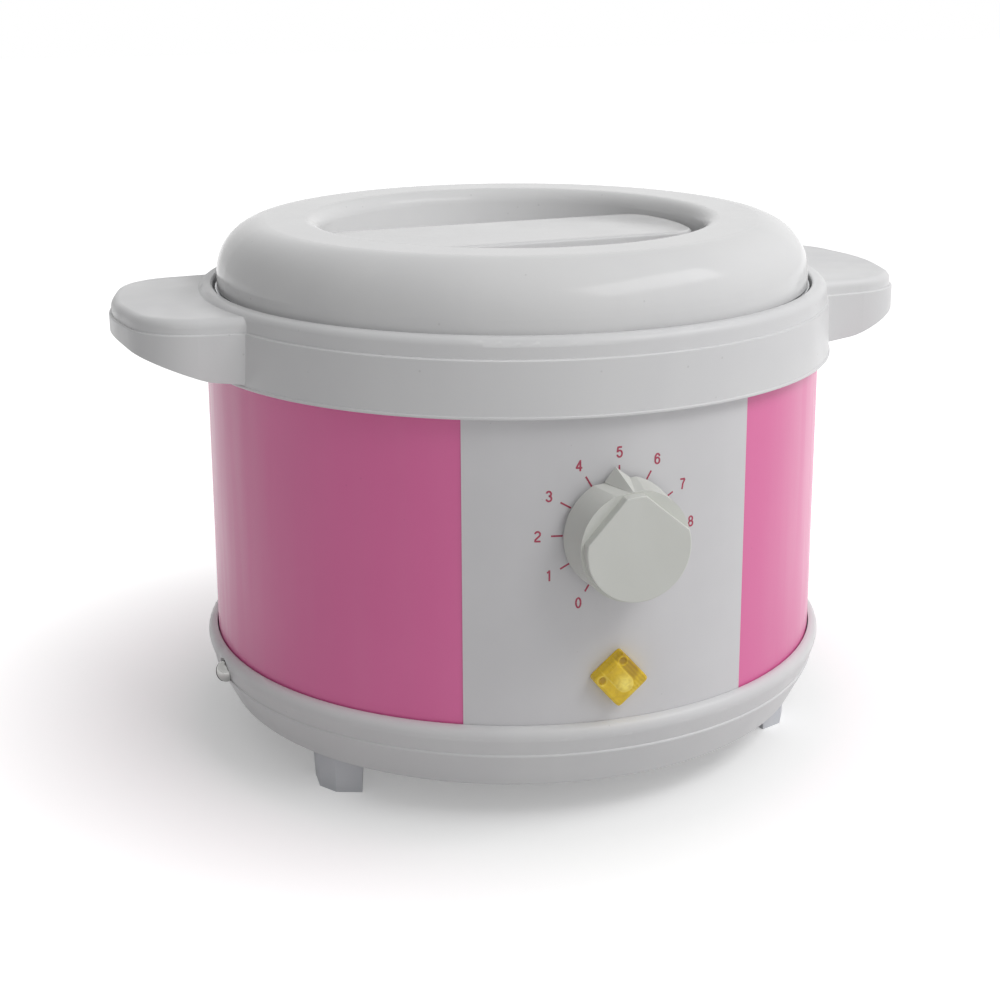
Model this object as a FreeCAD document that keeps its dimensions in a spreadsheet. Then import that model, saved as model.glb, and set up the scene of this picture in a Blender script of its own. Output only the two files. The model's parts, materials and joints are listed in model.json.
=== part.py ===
"""Electric wax melting pot: a parametric document of separate named sub-parts.

Millimetres, +Z up. The origin is on the pot's axis, at the level that the feet stand on. The control panel
faces -Y and the two ear handles point along X. Every driving size is a cell of the sheet "Sizes".
"""
import FreeCAD, Part
import math
import os
import re

import Sketcher
from FreeCAD import Placement, Rotation, Vector

SIZES = {
    # feet and base pan
    "foot_height": (12, "ground to the underside of the base pan"),
    "foot_nose": (8.5, "a foot's outer face from its screw, at its top"),
    "foot_nose_half": (3.7, "half the width of a foot's outer face"),
    "foot_side": (11.1, "half the width of a foot at its widest"),
    "foot_shoulder": (3, "widest place of a foot, outward of its screw"),
    "foot_back": (5.4, "a foot's inner face from its screw"),
    "foot_heel": (2.6, "half the width of a foot's inner face"),
    "foot_circle": (85, "distance of each foot's screw from the axis"),
    "foot_angle": (32.8, "turn of each foot from the X axis, in degrees"),
    "base_turn": (1.7, "turn of all four feet together, in degrees"),
    "pan_bottom_radius": (95.6, "base pan, flat underside"),
    "pan_step_radius": (101.8, "base pan, top of the lower tier"),
    "pan_step_level": (24.4, "level of the step between the two tiers"),
    "pan_radius": (103.3, "base pan, upper tier"),
    "pan_top": (33.6, "level of the pan's rounded lip"),
    "pan_belly": (3.5, "height of the pan's upright band under its lip"),
    "pan_wall": (2.4, "base pan, wall thickness"),
    # body shell and front panel
    "shell_radius": (100, "painted steel body, outside"),
    "shell_sheet": (0.8, "steel sheet thickness"),
    "shell_foot": (25.6, "level of the shell's lower edge, on the pan's ledge"),
    "shell_top": (141.2, "level of the shell's upper edge, inside the ring"),
    "panel_sheet": (0.3, "front panel thickness"),
    "panel_sweep": (51.4, "arc of the front panel, in degrees"),
    "tab_level": (135.2, "underside of the shell's four inward tabs"),
    "tab_circle": (95, "screw circle of the tabs"),
    # top ring with its ears
    "ring_radius": (103.4, "skirt of the top ring, outside at its lower edge"),
    "ring_foot": (125.75, "level of the skirt's lower edge"),
    "ring_step": (142.6, "level of the parting ledge round ring and ears"),
    "ring_top": (148.5, "level of the rim"),
    "ring_mouth": (97.2, "radius of the recess that takes pot and lid"),
    "ring_bore": (88.5, "radius of the ring's inner opening"),
    "seat_level": (145, "level of the seat for well and pot"),
    "deck_underside": (141.5, "underside of the ring's deck"),
    "ear_tip": (131.3, "apex of an ear's outline, before rounding"),
    "ear_corner": (123.6, "corner of an ear's outline, before rounding"),
    "ear_half_width": (40.6, "half the ear's width at its root"),
    "ear_top": (147, "level of the ear's top"),
    "ear_wall": (2.6, "wall thickness of the hollow ears"),
    # heating well and wax pot
    "well_radius": (71, "heating well, outside"),
    "well_bottom": (58, "underside of the well"),
    "well_sheet": (0.8, "well thickness"),
    "pot_radius": (68.8, "wax pot, outside"),
    "pot_bottom": (59.2, "underside of the pot"),
    "pot_sheet": (1.0, "pot thickness"),
    "pot_flange_level": (146.1, "underside of the pot's flange"),
    "pot_flange_radius": (96.4, "edge of the pot's flange"),
    "rivet_circle": (90.1, "distance of the lug rivets in front of the axis and behind it"),
    "lug_top": (160, "level of a lifting lug's top"),
    "lug_eye": (154.5, "level of the hole in a lifting lug"),
    # lid
    "lid_foot": (147.3, "level of the lid's lower edge"),
    "lid_foot_radius": (95.9, "lid at its lower edge"),
    "lid_radius": (95.3, "lid where the dome begins"),
    "lid_top": (167.7, "crown of the lid"),
    "lid_wall": (2.2, "lid thickness"),
    "basin_radius": (62.8, "basin at the crown, before rounding"),
    "basin_floor_radius": (61.3, "basin at its floor"),
    "basin_floor": (153, "level of the basin's floor"),
    "grip_top": (162.2, "level of the grip bar's top"),
    "grip_half_width": (22, "half the width of the grip bar"),
    "grip_half_length": (60.6, "half the length of the grip bar"),
    "grip_plate": (2.8, "thickness of the bar's overhanging plate"),
    "lid_turn": (4.5, "turn of the lid as it lies, in degrees"),
    # control knob and thermostat
    "knob_level": (91.04, "level of the knob's axis"),
    "knob_turn": (4, "turn of the pointer as it stands, in degrees"),
    "thermostat_back": (76, "distance of the thermostat's back from the axis"),
    "thermostat_front": (96.5, "distance of the thermostat's case front"),
    "thermostat_half_width": (18, "half the width of the thermostat's case"),
    "thermostat_half_height": (20, "half the height of the thermostat's case"),
    "thermostat_screw": (14, "each thermostat screw beside the spindle"),
    "tab_depth": (83.6, "distance of the thermostat's tabs from the axis"),
    "knob_back": (101.8, "distance of the knob's back from the pot's axis"),
    "knob_shoulder": (114, "distance of the shoulder"),
    "knob_face": (117, "distance of the knob's face"),
    "knob_skirt_radius": (17, "skirt at the back"),
    "knob_cap_radius": (15.4, "raised cap"),
    "spindle_radius": (3, "thermostat spindle"),
    "spindle_gap": (0.06, "running clearance round the spindle"),
    # pilot lamp
    "lamp_level": (47.4, "level of the pilot lamp's centre"),
    "lamp_side": (12.4, "side of the square lens"),
    "lamp_face": (104.8, "distance of the lens face from the axis"),
    "lamp_half": (5.4, "half the side of the lamp's housing"),
    "lamp_back": (88, "distance of the housing's back from the axis"),
    # heater
    "element_circle": (46, "radius of the tubular element's loop"),
    "element_radius": (3.25, "radius of the element's tube"),
    "element_gap": (20, "half the open arc between the element's ends, in degrees"),
    "shield_level": (40, "underside of the heat shield"),
    "shield_radius": (78, "heat shield, outside"),
    "wire_radius": (1, "insulated internal wire"),
    # cord inlet
    "inlet_level": (50, "level of the cord inlet at the rear"),
    "inlet_bore": (3.6, "bore of the inlet's grommet"),
    "side_screw_level": (27.6, "level of the base's side screws"),
    "side_seat": (102.3, "flat seat of a side screw, distance from the axis"),
    "side_turn": (9, "bearing of the side screws from the X axis, in degrees"),
}

doc = FreeCAD.newDocument("WaxHeater")
sheet = doc.addObject("Spreadsheet::Sheet", "Sizes")
for row, (alias, (number, meaning)) in enumerate(SIZES.items(), start=1):
    sheet.set(f"A{row}", meaning)
    sheet.set(f"B{row}", str(number))
    sheet.setAlias(f"B{row}", alias)
doc.recompute()

SUB_PARTS = []


# ---------------------------------------------------------------- sizes and bindings


def bound(formula):
    """The formula with every size name pointing at its cell of the sheet."""
    return re.sub(r"[A-Za-z_]\w*", lambda m: f"Sizes.{m[0]}" if m[0] in SIZES else m[0], str(formula))


def size(formula):
    """The present value of a formula of size names."""
    return float(sheet.evalExpression(str(formula)))


def bind(item, **formulas):
    """Binds properties of an object to formulas, written Height="seat_level - 2" or Base__z for Base.z."""
    for name, formula in formulas.items():
        item.setExpression(name.replace("__", "."), bound(formula))


def keep(item):
    """Marks a finished object as a sub-part: its Label names its file."""
    item.Label = item.Name
    SUB_PARTS.append(item)
    return item


# ---------------------------------------------------------------- sketches


def new_body(name, at=("0", "0", "0"), turn="0"):
    """An empty body, standing at a point and turned about Z."""
    body = doc.addObject("PartDesign::Body", name)
    bind(body, Placement__Base__x=at[0], Placement__Base__y=at[1], Placement__Base__z=at[2])
    body.Placement.Rotation = Rotation(Vector(0, 0, 1), size(turn))
    return body


def new_sketch(body, plane, offset="0", turn="0", at=("0", "0"), swing="0"):
    """A sketch on an origin plane, moved along its normal and in it, turned, and swung about its own Y."""
    sketch = body.newObject("Sketcher::SketchObject", f"{body.Name}_sketch")
    support = next(face for face in body.Origin.OriginFeatures if face.Role == f"{plane}_Plane")
    sketch.AttachmentSupport = [(support, "")]
    sketch.MapMode = "FlatFace"
    heading = Rotation(Vector(0, 1, 0), size(swing)) * Rotation(Vector(0, 0, 1), size(turn))
    sketch.AttachmentOffset = Placement(Vector(), heading)
    x, y = at
    bind(sketch, AttachmentOffset__Base__x=x, AttachmentOffset__Base__y=y, AttachmentOffset__Base__z=offset)
    return sketch


def constrain(sketch, kind, *references):
    """Adds a constraint; a formula after the references drives its value."""
    *links, formula = references
    index = sketch.addConstraint(Sketcher.Constraint(kind, *links, size(formula)))
    sketch.setExpression(f"Constraints[{index}]", bound(formula))


def fixed_point(sketch, x, y):
    """A construction point at (x, y)."""
    point = sketch.addGeometry(Part.Point(Vector(size(x), size(y), 0)), True)
    constrain(sketch, "DistanceX", -1, 1, point, 1, x)
    constrain(sketch, "DistanceY", -1, 1, point, 1, y)
    return point


class Corner:
    """One corner of an outline: its place and, where it is rounded, the arc that cuts it."""

    def __init__(self, x, y, rounding="0"):
        self.formulas = (x, y)
        self.rounding = rounding
        self.radius = size(rounding)
        self.place = Vector(size(x), size(y), 0)
        self.start = self.end = self.place
        self.centre = None

    def round_off(self, before, after):
        """Works out where the arc leaves the two sides."""
        back = (before.place - self.place).normalize()
        ahead = (after.place - self.place).normalize()
        half = back.getAngle(ahead) / 2
        self.start = self.place + back * (self.radius / math.tan(half))
        self.end = self.place + ahead * (self.radius / math.tan(half))
        self.centre = self.place + (back + ahead).normalize() * (self.radius / math.sin(half))
        self.turns_left = back.cross(ahead).z < 0

    def arc(self):
        """The arc, drawn anticlockwise as sketches keep it."""
        first, last = (self.start, self.end) if self.turns_left else (self.end, self.start)
        angles = [math.atan2(p.y - self.centre.y, p.x - self.centre.x) for p in (first, last)]
        return Part.ArcOfCircle(Part.Circle(self.centre, Vector(0, 0, 1), self.radius), *angles)


def outline(sketch, corners):
    """A closed outline of straight sides, fully constrained; each corner is (x, y) or (x, y, rounding)."""
    corners = [Corner(*corner) for corner in corners]
    for before, corner, after in zip(corners[-1:] + corners[:-1], corners, corners[1:] + corners[:1]):
        if corner.radius:
            corner.round_off(before, after)
    points = [fixed_point(sketch, *corner.formulas) for corner in corners]
    sides = [
        sketch.addGeometry(Part.LineSegment(corner.end, after.start), False)
        for corner, after in zip(corners, corners[1:] + corners[:1])
    ]
    for corner, point, incoming, outgoing in zip(corners, points, sides[-1:] + sides[:-1], sides):
        if not corner.radius:
            sketch.addConstraint(Sketcher.Constraint("Coincident", incoming, 2, point, 1))
            sketch.addConstraint(Sketcher.Constraint("Coincident", outgoing, 1, point, 1))
            continue
        arc = sketch.addGeometry(corner.arc(), False)
        first, last = (1, 2) if corner.turns_left else (2, 1)
        sketch.addConstraint(Sketcher.Constraint("PointOnObject", point, 1, incoming))
        sketch.addConstraint(Sketcher.Constraint("PointOnObject", point, 1, outgoing))
        sketch.addConstraint(Sketcher.Constraint("Tangent", incoming, 2, arc, first))
        sketch.addConstraint(Sketcher.Constraint("Tangent", arc, last, outgoing, 1))
        constrain(sketch, "Radius", arc, corner.rounding)
    return sketch


def circles(sketch, *rounds):
    """Full circles, each (x, y, radius)."""
    for x, y, radius in rounds:
        circle = sketch.addGeometry(
            Part.Circle(Vector(size(x), size(y), 0), Vector(0, 0, 1), size(radius)), False
        )
        point = fixed_point(sketch, x, y)
        sketch.addConstraint(Sketcher.Constraint("Coincident", circle, 3, point, 1))
        constrain(sketch, "Radius", circle, radius)
    return sketch


def box_corners(x_low, y_low, x_high, y_high, rounding="0"):
    """The four corners of an upright rectangle."""
    return [
        (x_low, y_low, rounding),
        (x_high, y_low, rounding),
        (x_high, y_high, rounding),
        (x_low, y_high, rounding),
    ]


# ---------------------------------------------------------------- features


def finish(body, feature):
    """Makes the feature the body's tip and recomputes."""
    body.Tip = feature
    doc.recompute()
    return feature


def revolve(body, sketch, sweep="360"):
    """Turns a sketch about the body's Z axis, evenly to both sides of its plane."""
    turned = body.newObject("PartDesign::Revolution", f"{body.Name}_turned")
    turned.Profile = sketch
    turned.ReferenceAxis = (sketch, ["V_Axis"])
    turned.Midplane = True
    bind(turned, Angle=sweep)
    return finish(body, turned)


def pad(body, sketch, length, backwards=False, taper="0"):
    """Pads a sketch along its normal, or against it."""
    padded = body.newObject("PartDesign::Pad", f"{body.Name}_pad")
    padded.Profile = sketch
    padded.Reversed = backwards
    bind(padded, Length=length, TaperAngle=taper)
    return finish(body, padded)


def cut(body, sketch, length, along_normal=False, both_ways=False):
    """Pockets a sketch against its normal, or along it, and makes sure that it took something away."""
    volume = body.Shape.Volume
    pocket = body.newObject("PartDesign::Pocket", f"{body.Name}_pocket")
    pocket.Profile = sketch
    pocket.Reversed = along_normal
    pocket.Midplane = both_ways
    bind(pocket, Length=length)
    finish(body, pocket)
    if body.Shape.Volume > volume - 0.01:
        raise ValueError(f"a pocket of {body.Label} cuts nothing")
    return pocket


def groove(body, sketch):
    """Cuts a turned profile out of the body."""
    grooved = body.newObject("PartDesign::Groove", f"{body.Name}_groove")
    grooved.Profile = sketch
    grooved.ReferenceAxis = (sketch, ["V_Axis"])
    grooved.Angle = 360
    return finish(body, grooved)


def polar(body, features, count):
    """Repeats features evenly about the body's Z axis."""
    pattern = body.newObject("PartDesign::PolarPattern", f"{body.Name}_pattern")
    pattern.Originals = features
    axis = next(line for line in body.Origin.OriginFeatures if line.Role == "Z_Axis")
    pattern.Axis = (axis, [""])
    pattern.Angle = 360
    pattern.Occurrences = count
    return finish(body, pattern)


def soften(body, radius, chosen):
    """Fillets the edges that a test picks out."""
    base = body.Tip
    names = [f"Edge{i}" for i, edge in enumerate(base.Shape.Edges, start=1) if chosen(edge)]
    rounded = body.newObject("PartDesign::Fillet", f"{body.Name}_fillet")
    rounded.Base = (base, names)
    bind(rounded, Radius=radius)
    return finish(body, rounded)


def at_level(level):
    """A test for edges that lie in a level plane."""
    height = size(level)
    return lambda edge: all(abs(v.Z - height) < 0.01 for v in edge.Vertexes) and abs(
        edge.BoundBox.ZMax - edge.BoundBox.ZMin
    ) < 0.01


def at_depth(depth):
    """A test for edges that lie in a plane at a distance in front of the axis."""
    place = -size(depth)
    return lambda edge: abs(edge.BoundBox.YMax - place) < 0.01 and abs(edge.BoundBox.YMin - place) < 0.01


def turned(name, corners, sweep="360", **place):
    """A body of revolution from a profile of (radius, level) corners."""
    body = new_body(name, **place)
    revolve(body, outline(new_sketch(body, "XZ"), corners), sweep)
    return body


def plate(name, plane, corners, offset, length, **place):
    """A body padded from one outline along the plane's normal."""
    body = new_body(name, **place)
    pad(body, outline(new_sketch(body, plane, offset), corners), length)
    return body


# ---------------------------------------------------------------- fasteners and wires


def pan_screw(name, head_radius, head_height, shank_radius, length, crown="0.6"):
    """A slotted screw: the head, rounded over a share of its height, is above the origin, the shank below."""
    body = turned(
        name,
        [
            ("0", f"-{length}"),
            (f"{shank_radius} * 0.6", f"-{length}"),
            (shank_radius, f"-{length} + {shank_radius}"),
            (shank_radius, "0"),
            (head_radius, "0"),
            (head_radius, head_height, f"{head_height} * {crown}"),
            ("0", head_height),
        ],
    )
    slot = box_corners(f"-{head_radius}", "-0.4", head_radius, "0.4")
    cut(body, outline(new_sketch(body, "XY", head_height), slot), f"{head_height} * 0.45")
    return body


def group(name, members):
    """Identical fasteners as separate solids of one sub-part."""
    compound = doc.addObject("Part::Compound", name)
    compound.Links = members
    return keep(compound)


def stand(body, x, y, z, axis=(0, 0, 1), turn="0"):
    """Places a body at a point, its own Z along the axis, turned about it."""
    bind(body, Placement__Base__x=x, Placement__Base__y=y, Placement__Base__z=z)
    spin = Rotation(Vector(0, 0, 1), size(turn))
    body.Placement.Rotation = Rotation(Vector(0, 0, 1), Vector(*axis)) * spin
    return body


def ring_places(circle, angles):
    """Points on a circle about the axis, as pairs of formulas."""
    return [(f"({circle}) * cos({angle})", f"({circle}) * sin({angle})") for angle in angles]


def rounded_path(points):
    """A path of straight runs joined by tangent arcs that are as large as their two runs allow."""
    corners = [Vector(*(size(value) for value in point)) for point in points]
    edges, start = [], corners[0]
    for before, corner, after in zip(corners, corners[1:], corners[2:]):
        back, ahead = before - corner, after - corner
        reach = 0.45 * min(back.Length, ahead.Length)
        first = corner + back.normalize() * reach
        last = corner + ahead.normalize() * reach
        half = back.getAngle(ahead) / 2
        inward = (back + ahead).normalize()
        radius = reach * math.tan(half)
        middle = corner + inward * (reach / math.cos(half) - radius)
        edges += [Part.LineSegment(start, first).toShape(), Part.Arc(first, middle, last).toShape()]
        start = last
    edges.append(Part.LineSegment(start, corners[-1]).toShape())
    return Part.Wire(edges)


def wire_solid(radius, points):
    """A round tube along a rounded path."""
    path = rounded_path(points)
    begin = path.Edges[0]
    section = Part.Wire(Part.Circle(begin.valueAt(0), begin.tangentAt(0), size(radius)).toShape())
    tube = path.makePipeShell([section], True, False)
    expected = math.pi * size(radius) ** 2 * path.Length
    if abs(tube.Volume - expected) > 0.02 * expected:
        raise ValueError("a wire's volume isn't its section times its length")
    return tube


def wires(name, radius, *routes):
    """One or more wires as a sub-part; a bent tube has no sketch, so its shape takes the sheet's values."""
    item = doc.addObject("Part::Feature", name)
    tubes = [wire_solid(radius, route) for route in routes]
    item.Shape = tubes[0] if len(tubes) == 1 else Part.makeCompound(tubes)
    item.Placement = Placement()
    return keep(item)


# ---------------------------------------------------------------- base pan and feet

FOOT_ANGLES = {
    "foot_front_right": "base_turn - foot_angle",
    "foot_rear_right": "base_turn + foot_angle",
    "foot_rear_left": "base_turn + 180 - foot_angle",
    "foot_front_left": "base_turn + 180 + foot_angle",
}
FOOT_PLACES = ring_places("foot_circle", FOOT_ANGLES.values())
SIDE_SEATS = [
    (side, (f"{side} * side_seat * cos(side_turn)", f"{side} * side_seat * sin(side_turn)"))
    for side in (1, -1)
]
DIAGONALS = ("45", "135", "225", "315")
QUARTERS = ("0", "90", "180", "270")


def make_base_pan():
    """The stepped pan: it carries the shell on a ledge, and the feet and terminal block on its floor."""
    pan = turned(
        "base_pan",
        [
            ("0", "foot_height"),
            ("pan_bottom_radius", "foot_height", "3"),
            ("pan_step_radius", "pan_step_level", "0.6"),
            ("pan_step_radius - 0.5", "pan_step_level + 0.3"),
            ("pan_radius", "pan_top - pan_belly", "4"),
            ("pan_radius", "pan_top", "2.5"),
            ("shell_radius + 0.4", "pan_top"),
            ("shell_radius + 0.4", "shell_foot"),
            ("shell_radius - 1.1", "shell_foot"),
            ("pan_bottom_radius - pan_wall", "foot_height + pan_wall", "2"),
            ("0", "foot_height + pan_wall"),
        ],
    )
    foot_holes = [(x, y, "1.9") for x, y in FOOT_PLACES]
    cut(pan, circles(new_sketch(pan, "XY"), *foot_holes, ("0", "60", "1.7")), "20", along_normal=True)
    sides = circles(new_sketch(pan, "YZ", swing="side_turn"), ("0", "side_screw_level", "1.9"))
    cut(pan, sides, "pan_radius * 2 + 4", both_ways=True)
    for side, (x, y) in SIDE_SEATS:
        face = new_sketch(pan, "YZ", x, at=(y, "0"), swing="side_turn")
        seat = circles(face, ("0", "side_screw_level", "4.4"))
        cut(pan, seat, "pan_radius", along_normal=side > 0)
    vent = cut(
        pan,
        outline(new_sketch(pan, "XY"), box_corners("30", "-1.5", "50", "1.5", "1.4")),
        "20",
        along_normal=True,
    )
    polar(pan, [vent], 12)
    keep(pan)


def make_feet():
    """Four tapered six-sided blocks under the pan, and the screws that hold them from below."""
    for (name, angle), (x, y) in zip(FOOT_ANGLES.items(), FOOT_PLACES):
        foot = new_body(name, at=(x, y, "0"), turn=angle)
        left = [("foot_nose", "foot_nose_half", "0.9"), ("foot_shoulder", "foot_side", "0.9")]
        left.append(("-foot_back", "foot_heel", "1"))
        right = [(x, f"-{y}", rounding) for x, y, rounding in reversed(left)]
        pad(foot, outline(new_sketch(foot, "XY", "foot_height"), left + right), "foot_height", True, "-3.5")
        cut(foot, circles(new_sketch(foot, "XY"), ("0", "0", "3.7")), "6", along_normal=True)
        cut(foot, circles(new_sketch(foot, "XY"), ("0", "0", "1.9")), "foot_height", along_normal=True)
        keep(foot)
    screws = [
        stand(pan_screw(f"foot_screw_{i}", "3.4", "2.2", "1.75", "10"), x, y, "6", (0, 0, -1))
        for i, (x, y) in enumerate(FOOT_PLACES)
    ]
    group("foot_screws", screws)


def make_side_screws():
    """Two round-head screws hold pan and shell together at the sides; each ends in a clip nut inside."""
    screws, nuts = [], []
    for i, (side, (x, y)) in enumerate(SIDE_SEATS):
        screw = pan_screw(f"side_screw_{i}", "3.5", "3.5", "1.75", "10", "0.92")
        outward = Rotation(Vector(0, 0, 1), size("side_turn")) * Vector(side, 0, 0)
        stand(screw, x, y, "side_screw_level", outward, "35")
        screws.append(screw)
        nut = new_body(f"side_nut_{i}", turn=f"side_turn + {90 - 90 * side}")
        face = new_sketch(nut, "YZ", "shell_radius - shell_sheet - 4.6")
        pad(nut, outline(face, box_corners("-5", "shell_foot + 0.6", "5", "shell_foot + 7.6", "1")), "3")
        thread = circles(new_sketch(nut, "YZ", "80"), ("0", "side_screw_level", "1.75"))
        cut(nut, thread, "40", along_normal=True)
        nuts.append(nut)
    group("base_side_screws", screws)
    group("side_clip_nuts", nuts)


# ---------------------------------------------------------------- body shell and front panel

LAMP_TURN = "45 - 4"


def front_openings(body, length):
    """The holes behind the knob and the lamp, cut through the front wall only."""
    face = new_sketch(body, "XZ")
    circles(face, ("0", "knob_level", "5.2"), ("-14", "knob_level", "1.7"), ("14", "knob_level", "1.7"))
    cut(body, face, length, along_normal=True)
    window = new_sketch(body, "XZ", turn=LAMP_TURN, at=("0", "lamp_level"))
    square = box_corners("-5.6", "-5.6", "5.6", "5.6", "0.6")
    cut(body, outline(window, square), length, along_normal=True)


def make_shell():
    """The rolled steel body with a lapped seam at the rear and four inward tabs near its top."""
    inside = "shell_radius - shell_sheet"
    shell = turned("body_shell", box_corners(inside, "shell_foot", "shell_radius", "shell_top"))
    strap = box_corners("-6", f"{inside} - 1", "6", f"{inside} + 0.1")
    seam = outline(new_sketch(shell, "XY", "inlet_level + 14"), strap)
    pad(shell, seam, "tab_level - inlet_level - 20")
    front_openings(shell, "shell_radius + 5")
    inlet = circles(new_sketch(shell, "XZ"), ("0", "inlet_level", "6"))
    cut(shell, inlet, "shell_radius + 5")
    sides = circles(new_sketch(shell, "YZ", swing="side_turn"), ("0", "side_screw_level", "1.9"))
    cut(shell, sides, "shell_radius * 2 + 4", both_ways=True)
    strip = new_sketch(shell, "XY", "tab_level", turn="45")
    outline(strip, box_corners("tab_circle - 4", "-6", f"{inside} + 0.4", "6"))
    tab = pad(shell, strip, "shell_sheet")
    hole = cut(
        shell,
        circles(new_sketch(shell, "XY", "tab_level - 1", turn="45"), ("tab_circle", "0", "1.7")),
        "shell_sheet + 2",
        along_normal=True,
    )
    polar(shell, [tab, hole], 4)
    keep(shell)


def make_front_panel():
    """The thin curved panel round the dial; its ends slide behind the pan's lip and the ring's skirt."""
    profile = box_corners("shell_radius", "shell_foot + 1", "shell_radius + panel_sheet", "shell_top - 4")
    panel = new_body("front_panel")
    sketch = outline(new_sketch(panel, "YZ"), [(f"-({x})", y) for x, y, _ in profile])
    revolve(panel, sketch, "panel_sweep")
    front_openings(panel, "shell_radius + 5")
    keep(panel)


# ---------------------------------------------------------------- top ring


def ear_outline(side, inset="0"):
    """The plan of one ear: straight sides, a large corner, a bowed tip."""
    root, corner, tip = "92", f"ear_corner - {inset}", f"ear_tip - {inset}"
    half, shoulder = f"ear_half_width - {inset}", f"ear_half_width - 3.4 - {inset}"
    plan = [(root, f"-({half})"), (corner, f"-({shoulder})", "21"), (tip, "0", "60")]
    plan += [(corner, shoulder, "21"), (root, half)]
    return [(f"{side} * ({x})", *rest) for x, *rest in plan]


def ear_prism(ring, side, inset, low, height):
    """A level-sided layer of one ear."""
    return pad(ring, outline(new_sketch(ring, "XY", low), ear_outline(side, inset)), height)


def make_top_ring():
    """The ring moulding: ears first, hollowed from below, then the turned ring itself."""
    ring = new_body("top_ring")
    for side in (-1, 1):
        ear_prism(ring, side, "0", "ring_foot", "ring_step - ring_foot")
    soften(ring, "0.5", at_level("ring_step"))
    for side in (-1, 1):
        ear_prism(ring, side, "0.7", "ring_step", "ear_top - ring_step")
    soften(ring, "2.6", at_level("ear_top"))
    for side in (-1, 1):
        slope = [("94", "ring_foot - 1"), ("94", "ring_foot + 1.2"), ("106", "ring_foot + 2.6", "20")]
        slope += [("134", "ring_foot + 13"), ("134", "ring_foot - 1")]
        belly = [(f"{side} * {x}", *rest) for x, *rest in slope]
        cut(ring, outline(new_sketch(ring, "XZ"), belly), "100", both_ways=True)
    for side in (-1, 1):
        hollow = outline(new_sketch(ring, "XY", "ring_foot - 2"), ear_outline(side, "ear_wall"))
        cut(ring, hollow, "ear_top - ear_wall - ring_foot + 2", along_normal=True)
    inner = box_corners("0", "ring_foot - 1", "shell_radius + 1.2", "ring_top")
    groove(ring, outline(new_sketch(ring, "XZ"), inner))
    profile = [
        ("ring_radius + 0.35", "ring_foot", "0.3"),
        ("ring_radius + 0.35", "ring_foot + 0.8", "0.3"),
        ("ring_radius - 0.05", "ring_foot + 0.9"),
        ("ring_radius - 0.6", "ring_step", "0.5"),
        ("ring_radius - 1.3", "ring_step"),
        ("ring_radius - 1.5", "ring_top", "2.6"),
        ("ring_mouth", "ring_top", "0.8"),
        ("ring_mouth", "seat_level"),
        ("ring_bore", "seat_level", "1"),
        ("ring_bore", "deck_underside - 5.5"),
        ("ring_bore + 2.5", "deck_underside - 5.5"),
        ("ring_bore + 2.5", "deck_underside"),
        ("shell_radius + 0.6", "deck_underside", "0.4"),
        ("shell_radius + 0.6", "ring_foot", "0.3"),
    ]
    revolve(ring, outline(new_sketch(ring, "XZ"), profile))
    boss_foot, boss_height = "tab_level + shell_sheet", "deck_underside - tab_level - shell_sheet + 0.5"
    for circle, turn in (("tab_circle", "45"), ("tab_circle - 2", "0")):
        round_boss = circles(new_sketch(ring, "XY", boss_foot, turn=turn), (circle, "0", "3.4"))
        boss = pad(ring, round_boss, boss_height)
        polar(ring, [boss], 4)
    pilots = [(x, y, "1.4") for x, y in ring_places("tab_circle", DIAGONALS)]
    cut(ring, circles(new_sketch(ring, "XY", boss_foot), *pilots), "8", along_normal=True)
    seats = [(x, y, "1.4") for x, y in ring_places("tab_circle - 2", QUARTERS)]
    cut(ring, circles(new_sketch(ring, "XY", "seat_level"), *seats), "8")
    cones = [(x, y, "2.6") for x, y in ring_places("tab_circle - 2", QUARTERS)]
    cut(ring, circles(new_sketch(ring, "XY", "seat_level"), *cones), "0.9")
    keep(ring)
    screws = [
        stand(pan_screw(f"ring_screw_{i}", "2.9", "1.8", "1.4", "8"), x, y, "tab_level", (0, 0, -1))
        for i, (x, y) in enumerate(ring_places("tab_circle", DIAGONALS))
    ]
    group("ring_screws", screws)


# ---------------------------------------------------------------- heating well and wax pot


def cup_profile(radius, bottom, sheet, flange_level, flange_radius, cone_foot):
    """Half section of a spun cup: flat floor, upright wall, flared cone and level flange."""
    cone_top = "ring_bore - 2"
    return [
        ("0", bottom),
        (radius, bottom, "6"),
        (radius, cone_foot, "12"),
        (cone_top, flange_level, "2"),
        (flange_radius, flange_level),
        (flange_radius, f"{flange_level} + {sheet}"),
        (f"{cone_top} - {sheet} * 0.35", f"{flange_level} + {sheet}", f"2 + {sheet}"),
        (f"{radius} - {sheet}", f"{cone_foot} + {sheet} * 0.5", f"12 - {sheet}"),
        (f"{radius} - {sheet}", f"{bottom} + {sheet}", f"6 - {sheet}"),
        ("0", f"{bottom} + {sheet}"),
    ]


def make_well():
    """The fixed aluminium well that the heater warms, screwed to the ring's seat."""
    well = turned(
        "heating_well",
        cup_profile("well_radius", "well_bottom", "well_sheet", "seat_level", "pot_flange_radius", "128"),
    )
    holes = [(x, y, "2.6") for x, y in ring_places("tab_circle - 2", QUARTERS)]
    cut(well, circles(new_sketch(well, "XY", "seat_level - 2"), *holes), "4", along_normal=True)
    keep(well)
    screws = []
    for i, (x, y) in enumerate(ring_places("tab_circle - 2", QUARTERS)):
        top = "0.8 + 0.8"
        screw = turned(
            f"well_screw_{i}",
            [("0", "-7"), ("1.4", "-7"), ("1.4", "0"), ("2.55", "0"), ("2.55", top, "0.3"), ("0", top)],
        )
        screws.append(stand(screw, x, y, "seat_level - 0.9"))
    group("well_screws", screws)


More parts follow.
